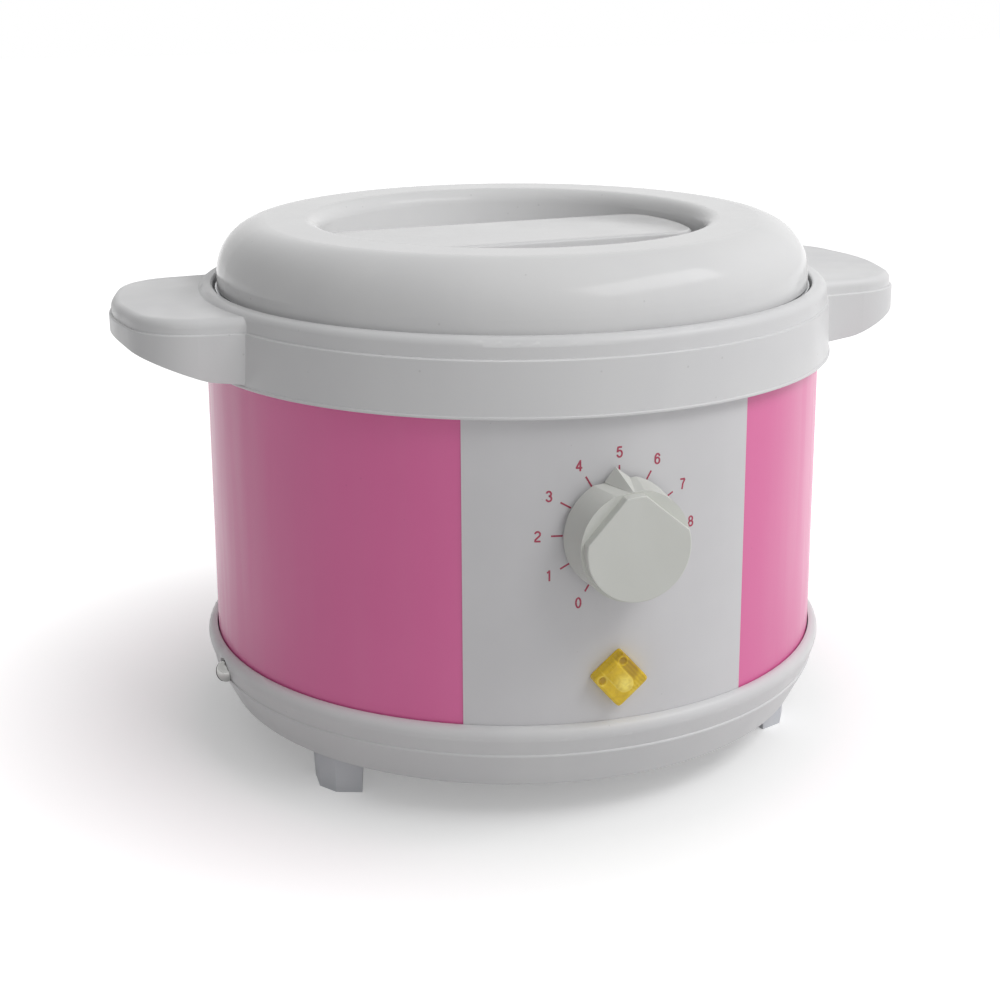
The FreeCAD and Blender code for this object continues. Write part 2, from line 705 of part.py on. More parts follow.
def make_pot():
    """The lift-out wax pot with a lifting lug riveted to its flange at the front and at the rear."""
    profile = cup_profile(
        "pot_radius", "pot_bottom", "pot_sheet", "pot_flange_level", "pot_flange_radius", "129.5"
    )
    pot = turned("wax_pot", profile)
    places = [(x, f"{side} * rivet_circle") for side in (-1, 1) for x in ("-4.5", "4.5")]
    holes = circles(new_sketch(pot, "XY", "pot_flange_level - 1"), *[(x, y, "1.3") for x, y in places])
    cut(pot, holes, "4", along_normal=True)
    keep(pot)
    lug_foot = "pot_flange_level + pot_sheet"
    for name, turn in (("pot_lug_front", "0"), ("pot_lug_rear", "180")):
        lug = new_body(name, turn=turn)
        angle_section = [
            ("-92.2", lug_foot),
            ("-86.6", lug_foot, "1.6"),
            ("-86.6", "lug_top"),
            ("-87.6", "lug_top"),
            ("-87.6", f"{lug_foot} + 1", "0.6"),
            ("-92.2", f"{lug_foot} + 1"),
        ]
        pad(lug, outline(new_sketch(lug, "YZ", "-8"), angle_section), "16")
        soften(lug, "5", lambda edge: edge.Length < 1.01 and edge.BoundBox.ZMin > size("lug_top") - 0.1)
        eye = circles(new_sketch(lug, "XZ"), ("0", "lug_eye", "1.9"))
        cut(lug, eye, "95", along_normal=True)
        rivets = [(x, "-rivet_circle", "1.3") for x in ("-4.5", "4.5")]
        cut(lug, circles(new_sketch(lug, "XY", f"{lug_foot} - 1"), *rivets), "4", along_normal=True)
        keep(lug)
    rivets = [
        stand(
            turned(
                f"lug_rivet_{i}",
                [("0", "-2"), ("1.3", "-2"), ("1.3", "0"), ("1.9", "0"), ("1.9", "0.9", "0.7"), ("0", "0.9")],
            ),
            x,
            y,
            f"{lug_foot} + 1",
        )
        for i, (x, y) in enumerate(places)
    ]
    group("pot_lug_rivets", rivets)


# ---------------------------------------------------------------- lid

GRIP_SCREWS = (("-34", "0"), ("34", "0"))


def make_lid():
    """The domed lid with its basin; its lower edge rests on the pot's flange."""
    lid = turned(
        "lid_shell",
        [
            ("0", "basin_floor - lid_wall"),
            ("basin_floor_radius + 2", "basin_floor - lid_wall", "4"),
            ("basin_radius + 2.1", "lid_top - lid_wall", "3.4"),
            ("lid_radius - lid_wall", "lid_top - lid_wall", "13.8"),
            ("lid_radius - lid_wall - 0.4", "lid_foot"),
            ("lid_foot_radius", "lid_foot", "0.5"),
            ("lid_radius", "lid_top", "16"),
            ("basin_radius", "lid_top", "5"),
            ("basin_floor_radius", "basin_floor", "3"),
            ("0", "basin_floor"),
        ],
    )
    holes = [(x, y, "1.8") for x, y in GRIP_SCREWS]
    cut(lid, circles(new_sketch(lid, "XY", "basin_floor - 4"), *holes), "8", along_normal=True)
    lid.Placement.Rotation = Rotation(Vector(0, 0, 1), size("lid_turn"))
    keep(lid)


def make_grip():
    """The grip bar: a wide plate with bowed ends on a narrower stem, screwed on from below."""
    grip = new_body("lid_grip", turn="lid_turn")
    end, side, corner = "grip_half_length", "grip_half_width", "grip_half_length - 4.2"
    plan = [(end, "0", "55"), (corner, side, "9"), (f"-({corner})", side, "9"), (f"-{end}", "0", "55")]
    plan += [(f"-({corner})", f"-{side}", "9"), (corner, f"-{side}", "9")]
    pad(grip, outline(new_sketch(grip, "XY", "grip_top - grip_plate"), plan), "grip_plate")
    soften(grip, "1.1", at_level("grip_top"))
    stem = outline(new_sketch(grip, "XY", "basin_floor"), box_corners("-50", "-11", "50", "11", "6"))
    pad(grip, stem, "grip_top - grip_plate - basin_floor + 0.4")
    pilots = circles(new_sketch(grip, "XY", "basin_floor"), *[(x, y, "1.4") for x, y in GRIP_SCREWS])
    cut(grip, pilots, "7", along_normal=True)
    keep(grip)
    screws = []
    for i, (x, _) in enumerate(GRIP_SCREWS):
        screw = pan_screw(f"grip_screw_{i}", "3.2", "1.9", "1.4", "8")
        stand(screw, f"{x} * cos(lid_turn)", f"{x} * sin(lid_turn)", "basin_floor - lid_wall", (0, 0, -1))
        screws.append(screw)
    group("lid_grip_screws", screws)


# ---------------------------------------------------------------- knob and thermostat

WALL_CIRCLE = "(well_radius + 2.6)"
BULB_ANGLE, FUSE_ANGLE = "220", "295"
BULB_PLACE, FUSE_PLACE = ring_places(WALL_CIRCLE, (BULB_ANGLE, FUSE_ANGLE))
LOW_TAB_END = "62.9"


def clock(angle, radius):
    """A point on the dial, its angle measured clockwise from the top, in the knob's own plane."""
    return f"{radius} * sin({angle})", f"{radius} * cos({angle})"


def face_forward(body, turn="0"):
    """Turns a body about the knob's axis, anticlockwise as seen from the front."""
    body.Placement.Rotation = Rotation(Vector(0, -1, 0), size(turn))
    return body


def make_knob():
    """The knob: a skirt with two facets, a raised cap with two flats, and a ridge that points at the dial."""
    knob = new_body("control_knob", at=("0", "0", "knob_level"))
    face_forward(knob, "knob_turn")
    skirt = circles(new_sketch(knob, "XZ", "knob_back"), ("0", "0", "knob_skirt_radius"))
    pad(knob, skirt, "knob_shoulder - knob_back", taper="-3.5")
    facets = [clock(angle, "knob_skirt_radius - 0.5") for angle in ("-52", "-33", "-14")]
    facets += [clock(angle, "24") for angle in ("-14", "-33", "-52")]
    cut(knob, outline(new_sketch(knob, "XZ", "knob_back"), facets), "14", along_normal=True)
    foot = [clock("-14", "16.3"), clock("-1", "19.8"), clock("13", "16.6"), ("0", "9")]
    crest = [clock("-2.5", "15.7"), clock("0", "16.1"), clock("2.5", "15.7"), ("0", "9")]
    ridge = knob.newObject("PartDesign::AdditiveLoft", "control_knob_ridge")
    ridge.Profile = outline(new_sketch(knob, "XZ", "knob_back"), foot)
    ridge.Sections = [outline(new_sketch(knob, "XZ", "knob_shoulder"), crest)]
    ridge.Ruled = True
    finish(knob, ridge)
    cap = circles(new_sketch(knob, "XZ", "knob_shoulder"), ("0", "0", "knob_cap_radius"))
    pad(knob, cap, "knob_face - knob_shoulder")
    for turn in ("46", "134"):
        flat = outline(new_sketch(knob, "XZ", "knob_face", turn=turn), box_corners("12.9", "-15", "22", "15"))
        cut(knob, flat, "knob_face - knob_shoulder")
    soften(knob, "0.4", at_depth("knob_face"))
    hollow = circles(new_sketch(knob, "XZ", "knob_back"), ("0", "0", "14"), ("0", "0", "5"))
    cut(knob, hollow, "9", along_normal=True)
    bore = circles(new_sketch(knob, "XZ", "knob_back"), ("0", "0", "spindle_radius + 0.04"))
    cut(knob, bore, "10", along_normal=True)
    key = outline(new_sketch(knob, "XZ", "knob_back + 2"), box_corners("-2.6", "2.1", "2.6", "3.4"))
    pad(knob, key, "8.2")
    keep(knob)
    spring = new_body("knob_spring", at=("0", "0", "knob_level"))
    rings = circles(new_sketch(spring, "XZ", "knob_back + 1"), ("0", "0", "5.6"), ("0", "0", "5.02"))
    pad(spring, rings, "4")
    keep(spring)


def make_thermostat():
    """The capillary thermostat behind the knob, its spindle, terminals, screws, tube and bulb."""
    thermostat = new_body("thermostat_body", at=("0", "0", "knob_level"))
    half, rise, front = "thermostat_half_width", "thermostat_half_height", "thermostat_front"
    case = new_sketch(thermostat, "XZ", "thermostat_back")
    outline(case, box_corners(f"-{half}", f"-{rise}", half, rise, "3"))
    pad(thermostat, case, f"{front} - thermostat_back")
    screw_places = ("-thermostat_screw", "thermostat_screw")
    rests = circles(new_sketch(thermostat, "XZ", f"{front} - 0.5"), *[(x, "0", "3") for x in screw_places])
    pad(thermostat, rests, "1.6")
    pad(thermostat, circles(new_sketch(thermostat, "XZ", f"{front} - 0.5"), ("0", "0", "4.8")), "4.2")
    bore = new_sketch(thermostat, "XZ", f"{front} + 4.5")
    cut(thermostat, circles(bore, ("0", "0", "spindle_radius + spindle_gap")), "19")
    pilots = circles(new_sketch(thermostat, "XZ", f"{front} + 1.5"), *[(x, "0", "1.3") for x in screw_places])
    cut(thermostat, pilots, "9")
    keep(thermostat)
    spindle = new_body("thermostat_spindle", at=("0", "0", "knob_level"))
    face_forward(spindle, "knob_turn")
    spindle_round = circles(new_sketch(spindle, "XZ", "thermostat_back + 7"), ("0", "0", "spindle_radius"))
    pad(spindle, spindle_round, "28")
    flat = outline(new_sketch(spindle, "XZ", "knob_back + 9.7"), box_corners("-4", "2", "4", "4"))
    cut(spindle, flat, "8.5")
    keep(spindle)
    screws = []
    for i, x in enumerate(screw_places):
        screw = pan_screw(f"thermostat_screw_{i}", "2.6", "1.5", "1.3", "9")
        screws.append(stand(screw, x, "-(shell_radius - 0.25)", "knob_level", (0, -1, 0)))
    group("thermostat_screws", screws)
    low = box_corners("5.9", LOW_TAB_END, "12.1", f"knob_level - {rise}")
    side = box_corners(half, "82", "25", "88")
    tabs = [("low_tab", low), ("side_tab", side)]
    group("thermostat_tabs", [plate(name, "XZ", corners, "tab_depth", "0.8") for name, corners in tabs])
    wires(
        "capillary_tube",
        "0.6",
        [
            (f"-{half}", "-86", "100"),
            ("-28", "-86", "100"),
            ("-46", "-73", "110"),
            ("-58", "-56", "117"),
            ("-60", "-46", "121"),
            (*BULB_PLACE, "119"),
            (*BULB_PLACE, "112"),
        ],
    )


# ---------------------------------------------------------------- heater, sensor and fuse


def clip(name, turn, level):
    """A spring clip that holds a round sleeve against the well's wall."""
    body = new_body(name, turn=turn)
    near, strip, crest = "well_radius + 0.1", "well_radius + 0.7", "well_radius + 5.8"
    u_shape = [
        (near, "-7"),
        (strip, "-7"),
        (strip, "-3.2"),
        (crest, "-3.2", "2.6"),
        (crest, "3.2", "2.6"),
        (strip, "3.2"),
        (strip, "7"),
        (near, "7"),
        (near, "2.6"),
        (f"{crest} - 0.6", "2.6", "2"),
        (f"{crest} - 0.6", "-2.6", "2"),
        (near, "-2.6"),
    ]
    pad(body, outline(new_sketch(body, "XY", level), u_shape), "5")
    return body


def make_sensor_and_fuse():
    """The thermostat's bulb and the thermal fuse, each clipped to the well."""
    bulb_profile = [("0", "66"), ("2.5", "66", "1.5"), ("2.5", "112", "1.5"), ("0", "112")]
    bulb = turned("sensor_bulb", bulb_profile)
    keep(stand(bulb, *BULB_PLACE, "0"))
    group("bulb_clips", [clip("bulb_clip_low", BULB_ANGLE, "72"), clip("bulb_clip_high", BULB_ANGLE, "98")])
    fuse = turned("thermal_fuse", [("0", "62"), ("2.5", "62", "0.8"), ("2.5", "76", "0.8"), ("0", "76")])
    keep(stand(fuse, *FUSE_PLACE, "0"))
    keep(clip("fuse_clip", FUSE_ANGLE, "66"))


def hexagon(across_flats):
    """The corners of a hexagon."""
    return ring_places(f"{across_flats} / 2 / cos(30)", ("0", "60", "120", "180", "240", "300"))


PIN_X, PIN_Y = "element_circle * sin(element_gap)", "element_circle * cos(element_gap)"


def make_heater():
    """The tubular element under the well and the stack that clamps it: plate, spacer, shield, washer, nut."""
    level = "well_bottom - element_radius"
    element = new_body("heater_element")
    loop = circles(new_sketch(element, "YZ"), ("element_circle", level, "element_radius"))
    revolve(element, loop, "360 - 2 * element_gap")
    pins = [(f"{side} * {PIN_X}", level, "2.2") for side in (-1, 1)]
    pad(element, circles(new_sketch(element, "XZ", f"{PIN_Y} - 1.5"), *pins), "24.3")
    keep(element)
    plate_top = "well_bottom - 2 * element_radius"
    clamp = turned("heater_clamp_plate", box_corners("3.3", f"{plate_top} - 1.5", "55", plate_top))
    keep(clamp)
    stud = [("0", "31"), ("3", "31", "0.6"), ("3", "well_bottom - 1"), ("8", "well_bottom - 1")]
    keep(turned("heater_stud", stud + [("8", "well_bottom"), ("0", "well_bottom")]))
    keep(turned("shield_spacer", box_corners("3.2", "shield_level + 0.8", "6", f"{plate_top} - 1.5")))
    shield = turned(
        "heat_shield",
        [
            ("3.3", "shield_level"),
            ("shield_radius", "shield_level", "4"),
            ("shield_radius", "shield_level + 8"),
            ("shield_radius - 0.8", "shield_level + 8"),
            ("shield_radius - 0.8", "shield_level + 0.8", "3.2"),
            ("3.3", "shield_level + 0.8"),
        ],
    )
    keep(shield)
    lug = new_body("earth_lug")
    tongue = box_corners("-2.5", "3.6", "2.5", "12")
    pad(lug, circles(new_sketch(lug, "XY", "shield_level - 0.8"), ("0", "0", "6")), "0.8")
    pad(lug, outline(new_sketch(lug, "XY", "shield_level - 0.8"), tongue), "0.8")
    cut(lug, circles(new_sketch(lug, "XY", "shield_level - 1"), ("0", "0", "3.2")), "2", along_normal=True)
    barrel = circles(new_sketch(lug, "XZ", "-12"), ("0", "shield_level - 2", "1.7"))
    pad(lug, barrel, "4.5")
    inside = circles(new_sketch(lug, "XZ", "-12.5"), ("0", "shield_level - 2", "wire_radius + 0.05"))
    cut(lug, inside, "5.5", along_normal=True)
    keep(lug)
    keep(turned("stud_washer", box_corners("3.2", "shield_level - 1.8", "6.2", "shield_level - 0.8")))
    nut = new_body("stud_nut")
    pad(nut, outline(new_sketch(nut, "XY", "shield_level - 6.8"), hexagon("10")), "5")
    cut(nut, circles(new_sketch(nut, "XY", "shield_level - 7"), ("0", "0", "3")), "6", along_normal=True)
    keep(nut)


def make_insulation():
    """The glass-wool blanket round the well's back and sides; the front is left free for the controls."""
    blanket = new_body("insulation_blanket")
    section = box_corners("well_radius + 1.4", "62", "88", "120", "3")
    revolve(blanket, outline(new_sketch(blanket, "YZ"), section), "220")
    keep(blanket)


# ---------------------------------------------------------------- pilot lamp


def lamp_layer(body, half, near, length, rounding="0.6"):
    """A square layer of the lamp, set on its corner."""
    square = box_corners(f"-({half})", f"-({half})", half, half, rounding)
    return pad(body, outline(new_sketch(body, "XZ", near, turn=LAMP_TURN), square), length)


def make_lamp():
    """The pilot lamp: an amber lens in front of the panel, its housing, neon bulb and spring clip behind."""
    lens = new_body("lamp_lens", at=("0", "0", "lamp_level"))
    seat, bay_half = "shell_radius + 0.4", "lamp_half - 1"
    lamp_layer(lens, "lamp_side / 2", seat, f"lamp_face - ({seat})")
    soften(lens, "0.9", at_depth("lamp_face"))
    hollow = new_sketch(lens, "XZ", seat, turn=LAMP_TURN)
    cut(lens, outline(hollow, box_corners("-4.8", "-4.8", "4.8", "4.8", "0.6")), "3", along_normal=True)
    keep(lens)
    housing = new_body("lamp_housing", at=("0", "0", "lamp_level"))
    lamp_layer(housing, "lamp_half", "lamp_back", f"{seat} - lamp_back")
    bay = new_sketch(housing, "XZ", "lamp_back + 1.5", turn=LAMP_TURN)
    inside = box_corners(f"-({bay_half})", f"-({bay_half})", bay_half, bay_half, "0.6")
    cut(housing, outline(bay, inside), "20", along_normal=True)
    keep(housing)
    bulb = [("0", "lamp_back + 1.5"), ("2.6", "lamp_back + 1.5"), ("2.6", "101.6", "2.2"), ("0", "101.6")]
    neon = turned("neon_bulb", bulb)
    keep(stand(neon, "0", "0", "lamp_level", (0, -1, 0)))
    clip_body = new_body("lamp_clip", at=("0", "0", "lamp_level"))
    lamp_layer(clip_body, "7.8", "96.6", "0.6", "1")
    window = new_sketch(clip_body, "XZ", "96", turn=LAMP_TURN)
    hole_half = "lamp_half + 0.05"
    square = box_corners(f"-({hole_half})", f"-({hole_half})", hole_half, hole_half, "0.6")
    cut(clip_body, outline(window, square), "3", along_normal=True)
    keep(clip_body)


# ---------------------------------------------------------------- wiring

POLES = ("-12", "-6", "0", "6", "12")
BLOCK_FACE = "50"


def make_terminal_block():
    """The ceramic terminal block on the pan's floor, its clamp screws and the screw that holds it."""
    floor = "foot_height + pan_wall"
    block = new_body("terminal_block")
    footprint = box_corners("-16", BLOCK_FACE, "16", "68", "1.5")
    pad(block, outline(new_sketch(block, "XY", floor), footprint), "15")
    ports = circles(new_sketch(block, "XZ", "-49"), *[(x, f"{floor} + 7.5", "1.5") for x in POLES])
    cut(block, ports, "6")
    wells = circles(new_sketch(block, "XY", f"{floor} + 15"), *[(x, "60", "2") for x in POLES])
    cut(block, wells, "4")
    cut(block, circles(new_sketch(block, "XY", floor), ("0", "60", "1.3")), "7", along_normal=True)
    keep(block)
    clamps = []
    for i, x in enumerate(POLES):
        clamp = pan_screw(f"clamp_screw_{i}", "1.9", "1.2", "1.2", "0.1")
        clamps.append(stand(clamp, x, "60", f"{floor} + 11.1", turn="20"))
    group("terminal_clamp_screws", clamps)
    fixing = pan_screw("terminal_block_screw", "3", "1.8", "1.3", "8")
    keep(stand(fixing, "0", "60", "foot_height", (0, 0, -1)))


def make_inlet():
    """The rubber grommet of the cord inlet, seated in the rear of the shell."""
    grommet = turned(
        "cord_grommet",
        [
            ("inlet_bore", "-3"),
            ("8", "-3", "1"),
            ("8", "-1.3"),
            ("5.8", "-1.3"),
            ("5.8", "0.1"),
            ("8", "0.1"),
            ("8", "3.2", "2"),
            ("inlet_bore", "3.2"),
        ],
    )
    keep(stand(grommet, "0", "shell_radius", "inlet_level", (0, 1, 0)))


def make_wires():
    """The insulated wires between terminal block, thermostat, fuse, heater, lamp and earth lug."""
    pin_x, pin_y, pin_z = PIN_X, f"-({PIN_Y} + 22.8)", "well_bottom - element_radius"
    port_y, port_z = f"{BLOCK_FACE} + 1", "21.9"
    wires(
        "neutral_wire",
        "wire_radius",
        [
            ("-12", port_y, port_z),
            ("-14", "10", "20"),
            ("-24", "-38", "20"),
            ("-22", "-81", "28"),
            (f"-({pin_x})", "-83", pin_z),
            (f"-({pin_x})", pin_y, pin_z),
        ],
    )
    wires(
        "live_wire",
        "wire_radius",
        [
            ("12", port_y, port_z),
            ("14", "10", "20"),
            ("22", "-38", "20"),
            ("18", "-81", "28"),
            ("9", "-84", "46"),
            ("9", "-84", LOW_TAB_END),
        ],
    )
    wires(
        "lamp_wires",
        "wire_radius",
        *[
            [
                (f"{side} * 2.5", "-lamp_back", "lamp_level"),
                (f"{side} * 2.5", "-82", "lamp_level"),
                (f"{side} * 4", "-81", "25"),
                (f"{side} * 6", "-45", "19"),
                (f"{side} * 6", "0", "19"),
                (f"{side} * 6", port_y, port_z),
            ]
            for side in (-1, 1)
        ],
    )
    wires(
        "earth_wire",
        "wire_radius",
        [
            ("0", "8", "shield_level - 2"),
            ("0", "24", "shield_level - 2"),
            ("0", "36", port_z),
            ("0", port_y, port_z),
        ],
    )
    wires(
        "thermostat_to_fuse_wire",
        "wire_radius",
        [
            ("25", "-84", "85"),
            ("31", "-84", "85"),
            ("33", "-75", "85"),
            (*FUSE_PLACE, "84"),
            (*FUSE_PLACE, "76"),
        ],
    )
    wires(
        "fuse_to_heater_wire",
        "wire_radius",
        [
            (*FUSE_PLACE, "62"),
            (*FUSE_PLACE, "56.5"),
            ("27", "-76", pin_z),
            (pin_x, "-78", pin_z),
            (pin_x, pin_y, pin_z),
        ],
    )


# ---------------------------------------------------------------- document


def check_document():
    """Stops if any object failed or any sub-part's shape is missing or invalid."""
    doc.recompute()
    for item in doc.Objects:
        if {"Invalid", "Error"} & set(item.State):
            raise ValueError(f"{item.Label} failed: {item.State}")
    for item in SUB_PARTS:
        if item.Shape.isNull() or not item.Shape.isValid() or not item.Shape.Solids:
            raise ValueError(f"{item.Label} has no valid solid")


def write_parts():
    """Writes one STEP file for each sub-part."""
    os.makedirs("parts", exist_ok=True)
    for item in SUB_PARTS:
        item.Shape.exportStep(f"parts/{item.Label}.step")
        bounds = item.Shape.BoundBox
        print(f"{item.Label:24s} solids {len(item.Shape.Solids)}  volume {item.Shape.Volume:10.1f} ", end="")
        print(f"z {bounds.ZMin:7.2f} to {bounds.ZMax:7.2f}")


make_base_pan()
make_feet()
make_side_screws()
make_shell()
make_front_panel()
make_top_ring()
make_well()
make_pot()
make_lid()
make_grip()
make_knob()
make_thermostat()
make_sensor_and_fuse()
make_heater()
make_insulation()
make_lamp()
make_terminal_block()
make_inlet()
make_wires()
check_document()
write_parts()
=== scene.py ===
"""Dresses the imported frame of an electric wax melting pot.

It makes the finishes, the print of the dial, the pilot lamp's cap, the shell's seam, the floor, the light
and the camera. Metres throughout, +Z up. The pot's axis is Z, the feet stand at zero, and the control panel
faces -Y. Shapes that are worked out here are written in millimetres and scaled once, when their mesh is
made.
"""

import json
import logging
from dataclasses import dataclass, field
from enum import Enum
from typing import Iterable, Sequence, TypeAlias

import bmesh
import bpy
import numpy as np
from mathutils import Matrix, Vector


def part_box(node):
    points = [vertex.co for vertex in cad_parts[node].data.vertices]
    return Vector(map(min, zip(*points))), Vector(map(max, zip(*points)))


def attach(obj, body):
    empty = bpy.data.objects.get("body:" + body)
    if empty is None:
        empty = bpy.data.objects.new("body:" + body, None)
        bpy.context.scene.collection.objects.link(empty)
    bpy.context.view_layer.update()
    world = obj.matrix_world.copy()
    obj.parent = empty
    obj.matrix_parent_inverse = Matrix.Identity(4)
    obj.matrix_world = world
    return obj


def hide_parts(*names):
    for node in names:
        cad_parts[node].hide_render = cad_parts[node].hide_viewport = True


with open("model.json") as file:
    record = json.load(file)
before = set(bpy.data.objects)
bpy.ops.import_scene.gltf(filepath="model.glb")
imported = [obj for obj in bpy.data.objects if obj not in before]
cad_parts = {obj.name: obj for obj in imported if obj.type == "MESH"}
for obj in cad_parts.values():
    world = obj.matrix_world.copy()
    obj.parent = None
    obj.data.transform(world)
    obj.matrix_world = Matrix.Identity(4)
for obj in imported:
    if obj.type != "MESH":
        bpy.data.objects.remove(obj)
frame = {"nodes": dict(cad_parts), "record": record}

LOG = logging.getLogger("wax_pot")
MM = 0.001

Array: TypeAlias = np.ndarray
Triple: TypeAlias = tuple[float, float, float]
Colour: TypeAlias = Triple
Span: TypeAlias = tuple[float, float]
Socket: TypeAlias = bpy.types.NodeSocket
Material: TypeAlias = bpy.types.Material

# Parts of a noise pattern's range: nearly all of it, and a narrower one that sends more of it to the ends.
NOISE_BULK: Span = (0.3, 0.7)
NOISE_MIDDLE: Span = (0.35, 0.65)
EVENLY: Triple = (1, 1, 1)
# Length of one wave of Blender's wave texture at a scale of one, 2 pi / 20.
WAVE_LENGTH = 0.314
# Numbers of the colour mixer's sockets, whose names it shares with its other kinds.
MIX_SHARE, MIX_FIRST, MIX_SECOND, MIX_RESULT = 0, 6, 7, 2


# ---------------------------------------------------------------- material graphs


class Graph:
    """A material's node tree, with short calls that add and join nodes."""

    def __init__(self, name: str) -> None:
        """Starts a material that holds one Principled shader.

        Args:
            name: the material's name.
        """
        self.material: Material = bpy.data.materials.new(name)
        self.material.use_nodes = True
        self.tree = self.material.node_tree
        self.shader: bpy.types.Node = self.tree.nodes["Principled BSDF"]
        self.place = self.add("ShaderNodeTexCoord").outputs["Object"]
        self.relief: Socket | None = None

    def add(
        self, kind: str, inputs: dict[str | int, object] | None = None, **settings: object
    ) -> bpy.types.Node:
        """Adds a node.

        Args:
            kind: Blender's name of the node type.
            inputs: a value or an output socket for each named input.
            **settings: the node's own settings.

        Returns:
            The node.
        """
        node = self.tree.nodes.new(kind)
        for key, value in settings.items():
            setattr(node, key, value)
        for key, value in (inputs or {}).items():
            self.feed(node, key, value)
        return node

    def feed(self, node: bpy.types.Node, key: str | int, value: object) -> None:
        """Joins an output to an input, or sets the input's own value.

        Args:
            node: the node that is fed.
            key: the input's name or number.
            value: an output socket, a number or a colour.
        """
        if isinstance(value, Socket):
            self.tree.links.new(value, node.inputs[key])
        else:
            node.inputs[key].default_value = value

    def stretched(self, stretch: Triple) -> Socket:
        """Object coordinates times a number for each axis; a small one draws a pattern out."""
        return self.add("ShaderNodeMapping", {"Vector": self.place, "Scale": stretch}).outputs["Vector"]

    def noise(
        self, pitch: float, detail: float = 3.0, stretch: Triple = EVENLY, twist: float = 0.0
    ) -> Socket:
        """Cloudy noise.

        Args:
            pitch: size of its cells, in millimetres.
            detail: how many finer layers lie on it.
            stretch: multipliers of the coordinates.
            twist: distortion.

        Returns:
            The output socket, from 0 to 1 with most of it near the middle.
        """
        vector = self.place if stretch == EVENLY else self.stretched(stretch)
        values = {"Vector": vector, "Scale": 1 / (pitch * MM), "Detail": detail, "Distortion": twist}
        return self.add("ShaderNodeTexNoise", values).outputs["Fac"]

    def cells(self, pitch: float) -> Socket:
        """Distance to the nearest of scattered points, whose mean spacing is the pitch in millimetres."""
        values = {"Vector": self.place, "Scale": 1 / (pitch * MM)}
        return self.add("ShaderNodeTexVoronoi", values).outputs["Distance"]

    def rings(self, pitch: float, wander: float = 1.5) -> Socket:
        """Fine rings about the Z axis, as a tool leaves on spun metal.

        Args:
            pitch: from one ring to the next, in millimetres.
            wander: how far they stray.

        Returns:
            The output socket, from 0 to 1.
        """
        scale = WAVE_LENGTH / (pitch * MM)
        values = {"Vector": self.place, "Scale": scale, "Distortion": wander, "Detail": 3.0}
        settings = {"wave_type": "RINGS", "rings_direction": "Z"}
        return self.add("ShaderNodeTexWave", values, **settings).outputs["Fac"]

    def span(
        self, value: Socket, low: float = 0.0, high: float = 1.0, source: Span = NOISE_BULK
    ) -> Socket:
        """Spreads a pattern evenly from one number to another.

        Args:
            value: the pattern.
            low: the result at the source's low end.
            high: the result at the source's high end.
            source: the part of the pattern's range that is spread.

        Returns:
            The output socket.
        """
        ends = {"From Min": source[0], "From Max": source[1], "To Min": low, "To Max": high}
        return self.add("ShaderNodeMapRange", {"Value": value, **ends}).outputs["Result"]

    def mixed(self, share: Socket, first: Colour | Socket, second: Colour | Socket) -> Socket:
        """A colour between two others.

        Args:
            share: how much of the second there is, from 0 to 1.
            first: a colour, or a socket that gives one.
            second: likewise.

        Returns:
            The output socket.
        """
        node = self.add("ShaderNodeMix", data_type="RGBA")
        self.feed(node, MIX_SHARE, share)
        for key, colour in ((MIX_FIRST, first), (MIX_SECOND, second)):
            self.feed(node, key, colour if isinstance(colour, Socket) else (*colour, 1.0))
        return node.outputs[MIX_RESULT]

    def raised(self, height: Socket, distance: float) -> None:
        """Lays a relief over what is there already.

        Args:
            height: the pattern, whose range of 0 to 1 is as high as the distance.
            distance: millimetres.
        """
        values = {"Height": height, "Distance": distance * MM, "Strength": 1.0}
        if self.relief is not None:
            values["Normal"] = self.relief
        self.relief = self.add("ShaderNodeBump", values).outputs["Normal"]

    def attribute(self, name: str) -> Socket:
        """The number that each point of the mesh carries under this name."""
        return self.add("ShaderNodeAttribute", attribute_name=name).outputs["Fac"]

    def finish(self, **sockets: object) -> Material:
        """Sets the shader's sockets and closes the material.

        Args:
            **sockets: values or output sockets by input name, with spaces written as underscores.

        Returns:
            The material.
        """
        for key, value in sockets.items():
            if isinstance(value, tuple) and len(value) == 3 and "Radius" not in key:
                value = (*value, 1.0)
            self.feed(self.shader, key.replace("_", " "), value)
        if self.relief is not None:
            self.feed(self.shader, "Normal", self.relief)
        return self.material


# ---------------------------------------------------------------- finishes


class Lay(Enum):
    """Direction of the fine lines on a metal."""

    NONE = "none"
    RINGS = "rings about the axis"


def dimmed(colour: Colour, share: float) -> Colour:
    """The colour with each of its parts multiplied by the share."""
    return tuple(share * part for part in colour)


